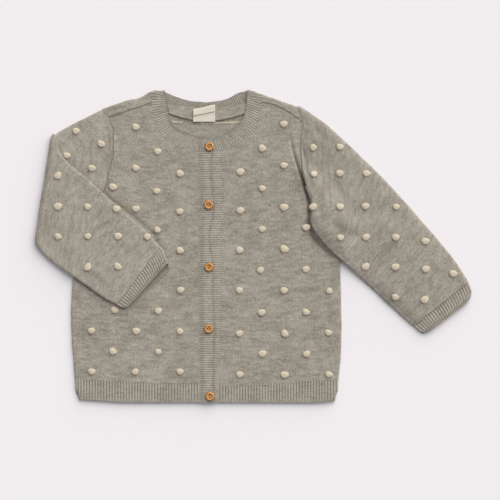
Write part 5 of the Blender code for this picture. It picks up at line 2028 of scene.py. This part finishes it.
class CARDIGAN_OT_floats(bpy.types.Operator):
    """Lay the short cream floats that show inside the neck"""
    bl_idname = "cardigan.floats"
    bl_label = "Inside floats"

    def execute(self, context):
        chance = np.random.default_rng(FLOAT_SEED)
        form = bobble_form()
        places = []
        for start, end in FLOAT_RUNS:
            count = round((end - start) / FLOAT_STEP)
            for k in range(count + 1):
                x = start + (end - start) * k / count
                bow = (x / FLOAT_BOW_REACH) ** 2 * FLOAT_BOW
                y = FLOAT_Y + FLOAT_SWING * (-1) ** k + bow + chance.normal(0.0, FLOAT_SPREAD)
                places.append(Placed(Vector((x, y, BACK_Z + FLOAT_LIFT)) * MM,
                                     Vector((0.0, 0.0, 1.0)), FLOAT_TURN * (-1) ** k,
                                     1.0 + chance.normal(0.0, FLOAT_SPREAD), 1.0, FLOAT_HEIGHT))
        size = sizes()
        scatter("floats", form, places, size.bobble_width * FLOAT_WIDTH, size.bobble_height,
                look_of("cream_cotton_yarn"))
        bpy.data.objects.remove(form)
        return {"FINISHED"}


# Buttons, as turned on a lathe: radius and height, from the middle of the face to the back
Turn = namedtuple("Turn", "name radius height")
BUTTON_PROFILE = [
    Turn("middle", 0.0, 1.45), Turn("dish", 1.9, 1.5), Turn("dish edge", 2.35, 1.6),
    Turn("inner slope", 2.75, 2.15), Turn("rim inside", 3.05, 2.5), Turn("rim top", 3.45, 2.6),
    Turn("rim outside", 3.8, 2.45), Turn("ledge", 4.15, 2.05), Turn("ledge edge", 4.6, 1.95),
    Turn("shoulder", 4.9, 1.65), Turn("edge", 5.0, 1.2), Turn("under edge", 4.8, 0.6),
    Turn("under slope", 4.2, 0.15), Turn("back", 3.0, 0.0), Turn("back middle", 0.0, 0.0),
]
BUTTON_STEPS = 72
HOLE_STEPS = 20
# Painted shade on the wood: round the ledge and the dish, and on all that lies beyond the edge
Hollow = namedtuple("Hollow", "name radius width shade")
HOLLOWS = [Hollow("ledge", 4.3, 0.35, 0.95), Hollow("dish", 2.4, 0.45, 0.95)]
DARK_EDGE = 4.8
DARK_EDGE_SHADE = 0.8
# Four strands side by side, each arching from hole to hole over the bar
THREAD_RADIUS = 0.24
THREAD_RISE = 0.45
THREAD_STRANDS = (-1.5, -0.5, 0.5, 1.5)
STRAND_STEP = 1.3 * THREAD_RADIUS
STRAND_FALL = 0.1
THREAD_DEPTH = 1.3


def lathe_button(row):
    """A turned wooden button with a raised rim, a dished middle and two drilled holes."""
    mesh = bmesh.new()
    weave = mesh.loops.layers.uv.new("Weave")
    rings = []
    for station in BUTTON_PROFILE[1:-1]:
        ring = []
        for step in range(BUTTON_STEPS):
            turn = 2.0 * math.pi * step / BUTTON_STEPS
            ring.append(mesh.verts.new((station.radius * math.cos(turn) * MM,
                                        station.radius * math.sin(turn) * MM,
                                        station.height * MM)))
        rings.append(ring)
    middle = mesh.verts.new((0.0, 0.0, BUTTON_PROFILE[0].height * MM))
    back = mesh.verts.new((0.0, 0.0, 0.0))
    skin(mesh, middle, rings, back)
    for face in mesh.faces:
        for loop in face.loops:
            loop[weave].uv = (loop.vert.co.x, loop.vert.co.y)
    button = object_from(mesh, row.name + "_wood")
    drills = [drill(offset * HOLE_SPACING) for offset in (-0.5, 0.5)]
    for tool in drills:
        cut = button.modifiers.new("Hole", "BOOLEAN")
        cut.operation = "DIFFERENCE"
        cut.object = tool
    make_real(button)
    for tool in drills:
        bpy.data.objects.remove(tool)
    paint_shade_in_hollows(button.data)
    settle(button, row)
    button.data.materials.clear()
    button.data.materials.append(look_of("oiled_turned_wood"))
    button.data.set_sharp_from_angle(angle=SHARP_ANGLE)
    return button


def drill(offset):
    mesh = bmesh.new()
    bmesh.ops.create_cone(mesh, cap_ends=True, segments=HOLE_STEPS, radius1=HOLE_RADIUS * MM,
                          radius2=HOLE_RADIUS * MM, depth=4.0 * BUTTON_HEIGHT * MM)
    bmesh.ops.translate(mesh, vec=(offset * MM, 0.0, 0.0), verts=mesh.verts)
    return object_from(mesh, "drill")


def paint_shade_in_hollows(data):
    """Painted shade in the dish, round the ledge and down the edge."""
    groove = data.attributes.new("groove", "FLOAT", "POINT")
    values = []
    for vert in data.vertices:
        reach = math.hypot(vert.co.x, vert.co.y) / MM
        dark = DARK_EDGE_SHADE if reach > DARK_EDGE else 0.0
        for hollow in HOLLOWS:
            dark += hollow.shade * bell(reach - hollow.radius, hollow.width)
        values.append(min(1.0, dark))
    groove.data.foreach_set("value", values)


def settle(piece, row):
    """Turn a button's mesh and move it to its place on the upper band."""
    seat_z = LAP_Z + RIB_WALL / 2 + SEAM_GAP
    cosine, sine = math.cos(math.radians(row.turn)), math.sin(math.radians(row.turn))
    for vert in piece.data.vertices:
        x, y, z = vert.co
        vert.co = (x * cosine - y * sine + row.x * MM, x * sine + y * cosine + row.y * MM,
                   z + seat_z * MM)


def sewn_thread(row):
    """Four turns of thread through the two holes and over the bar between them."""
    curve = bpy.data.curves.new(row.name + "_thread", "CURVE")
    curve.dimensions = "3D"
    curve.bevel_depth = THREAD_RADIUS * MM
    curve.bevel_resolution = 2
    reach = HOLE_SPACING / 2
    height = BUTTON_PROFILE[0].height
    for strand in THREAD_STRANDS:
        spline = curve.splines.new("BEZIER")
        spline.bezier_points.add(2)
        spots = ((-reach, height - THREAD_DEPTH),
                 (0.0, height + THREAD_RISE - STRAND_FALL * abs(strand)),
                 (reach, height - THREAD_DEPTH))
        for point, (x, z) in zip(spline.bezier_points, spots):
            point.co = (x * MM, strand * STRAND_STEP * MM, z * MM)
            point.handle_left_type = point.handle_right_type = "AUTO"
    thread = linked(curve.name, curve)
    depsgraph = bpy.context.evaluated_depsgraph_get()
    data = bpy.data.meshes.new_from_object(thread.evaluated_get(depsgraph))
    bpy.data.objects.remove(thread)
    data.name = row.name + "_sewing"
    sewing = linked(data.name, data)
    settle(sewing, row)
    data.materials.clear()
    data.materials.append(look_of("waxed_thread"))
    return sewing


class CARDIGAN_OT_buttons(bpy.types.Operator):
    """Turn the five wooden buttons and sew them on"""
    bl_idname = "cardigan.buttons"
    bl_label = "Buttons"

    def execute(self, context):
        for row in BUTTONS:
            button = lathe_button(row)
            thread = sewn_thread(row)
            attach(button, "root")
            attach(thread, "root")
            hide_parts(row.name)
        return {"FINISHED"}


class CARDIGAN_OT_lay_out(bpy.types.Operator):
    """Attach each cloth piece, its bobbles and the floats to the root, and hide the solids that
    each piece stands for
    """
    bl_idname = "cardigan.lay_out"
    bl_label = "Lay out"

    def execute(self, context):
        for name, cut in CUTS.items():
            piece = bpy.data.objects[name]
            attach(piece, "root")
            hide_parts(*cut.nodes)
        for name, cut in CUTS.items():
            piece = bpy.data.objects[name]
            bobbles = bpy.data.objects.get("bobbles_" + name)
            if bobbles:
                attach(bobbles, "root")
            list(cut.rests_on)
        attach(bpy.data.objects["floats"], "root")
        return {"FINISHED"}


# Camera straight above, on the middle of the view
VIEW_MIDDLE = (46.0, -4.3)
VIEW_WIDTH = 0.535
SENSOR = 36.0
FLOOR_REACH = 3.0
SKY_COLOUR = (0.97, 0.97, 1.0, 1.0)
SKY_STRENGTH = 0.36
LAMP_COLOUR = (1.0, 0.985, 0.96)
LAMP_STRENGTH = 3.4
LAMP_ANGLE = 75.0
LAMP_FROM = (0.62, 1.2, 1.0)


class CARDIGAN_OT_stage(bpy.types.Operator):
    """Set the pale surface, the soft light and the camera overhead"""
    bl_idname = "cardigan.stage"
    bl_label = "Surface, light and camera"

    def execute(self, context):
        scene = context.scene
        scene.view_settings.view_transform = "Standard"
        mesh = bmesh.new()
        bmesh.ops.create_grid(mesh, x_segments=8, y_segments=8, size=FLOOR_REACH)
        floor = object_from(mesh, "surface")
        floor.data.materials.append(look_of("matt_board"))

        world = bpy.data.worlds.new("studio")
        scene.world = world
        world.use_nodes = True
        sky = world.node_tree.nodes["Background"]
        sky.inputs["Color"].default_value = SKY_COLOUR
        sky.inputs["Strength"].default_value = SKY_STRENGTH

        lamp = bpy.data.lights.new("window", "SUN")
        lamp.energy = LAMP_STRENGTH
        lamp.angle = math.radians(LAMP_ANGLE)
        lamp.color = LAMP_COLOUR
        window = linked("window", lamp)
        window.rotation_euler = Vector(LAMP_FROM).to_track_quat("Z", "Y").to_euler()

        lens = bpy.data.cameras.new("overhead")
        lens.sensor_width = SENSOR
        lens.lens = SENSOR * sizes().camera_height / VIEW_WIDTH
        camera = linked("overhead", lens)
        camera.location = (VIEW_MIDDLE[0] * MM, VIEW_MIDDLE[1] * MM, sizes().camera_height)
        scene.camera = camera
        return {"FINISHED"}


STEPS = (CARDIGAN_OT_stage, CARDIGAN_OT_panels, CARDIGAN_OT_sleeves, CARDIGAN_OT_ribs,
         CARDIGAN_OT_label, CARDIGAN_OT_bobbles, CARDIGAN_OT_floats, CARDIGAN_OT_buttons,
         CARDIGAN_OT_lay_out)


class CARDIGAN_PT_panel(bpy.types.Panel):
    """Sizes, colours and the steps that knit the cardigan"""
    bl_idname = "CARDIGAN_PT_panel"
    bl_label = "Baby cardigan"
    bl_space_type = "VIEW_3D"
    bl_region_type = "UI"
    bl_category = "Cardigan"

    def draw(self, context):
        layout = self.layout
        for group in (context.scene.cardigan_sizes, context.scene.cardigan_colours):
            box = layout.box()
            for key in group.bl_rna.properties.keys():
                if key not in {"rna_type", "name"}:
                    box.prop(group, key)
        for step in STEPS:
            layout.operator(step.bl_idname)


CLASSES = (CardiganSizes, CardiganColours, *STEPS, CARDIGAN_PT_panel)


def register():
    for item in CLASSES:
        bpy.utils.register_class(item)
    bpy.types.Scene.cardigan_sizes = bpy.props.PointerProperty(type=CardiganSizes)
    bpy.types.Scene.cardigan_colours = bpy.props.PointerProperty(type=CardiganColours)


def unregister():
    del bpy.types.Scene.cardigan_colours
    del bpy.types.Scene.cardigan_sizes
    for item in reversed(CLASSES):
        bpy.utils.unregister_class(item)


def main():
    """Register and take every step in order."""
    register()
    for step in STEPS:
        group, name = step.bl_idname.split(".")
        getattr(getattr(bpy.ops, group), name)()


if __name__ == "__main__":
    main()
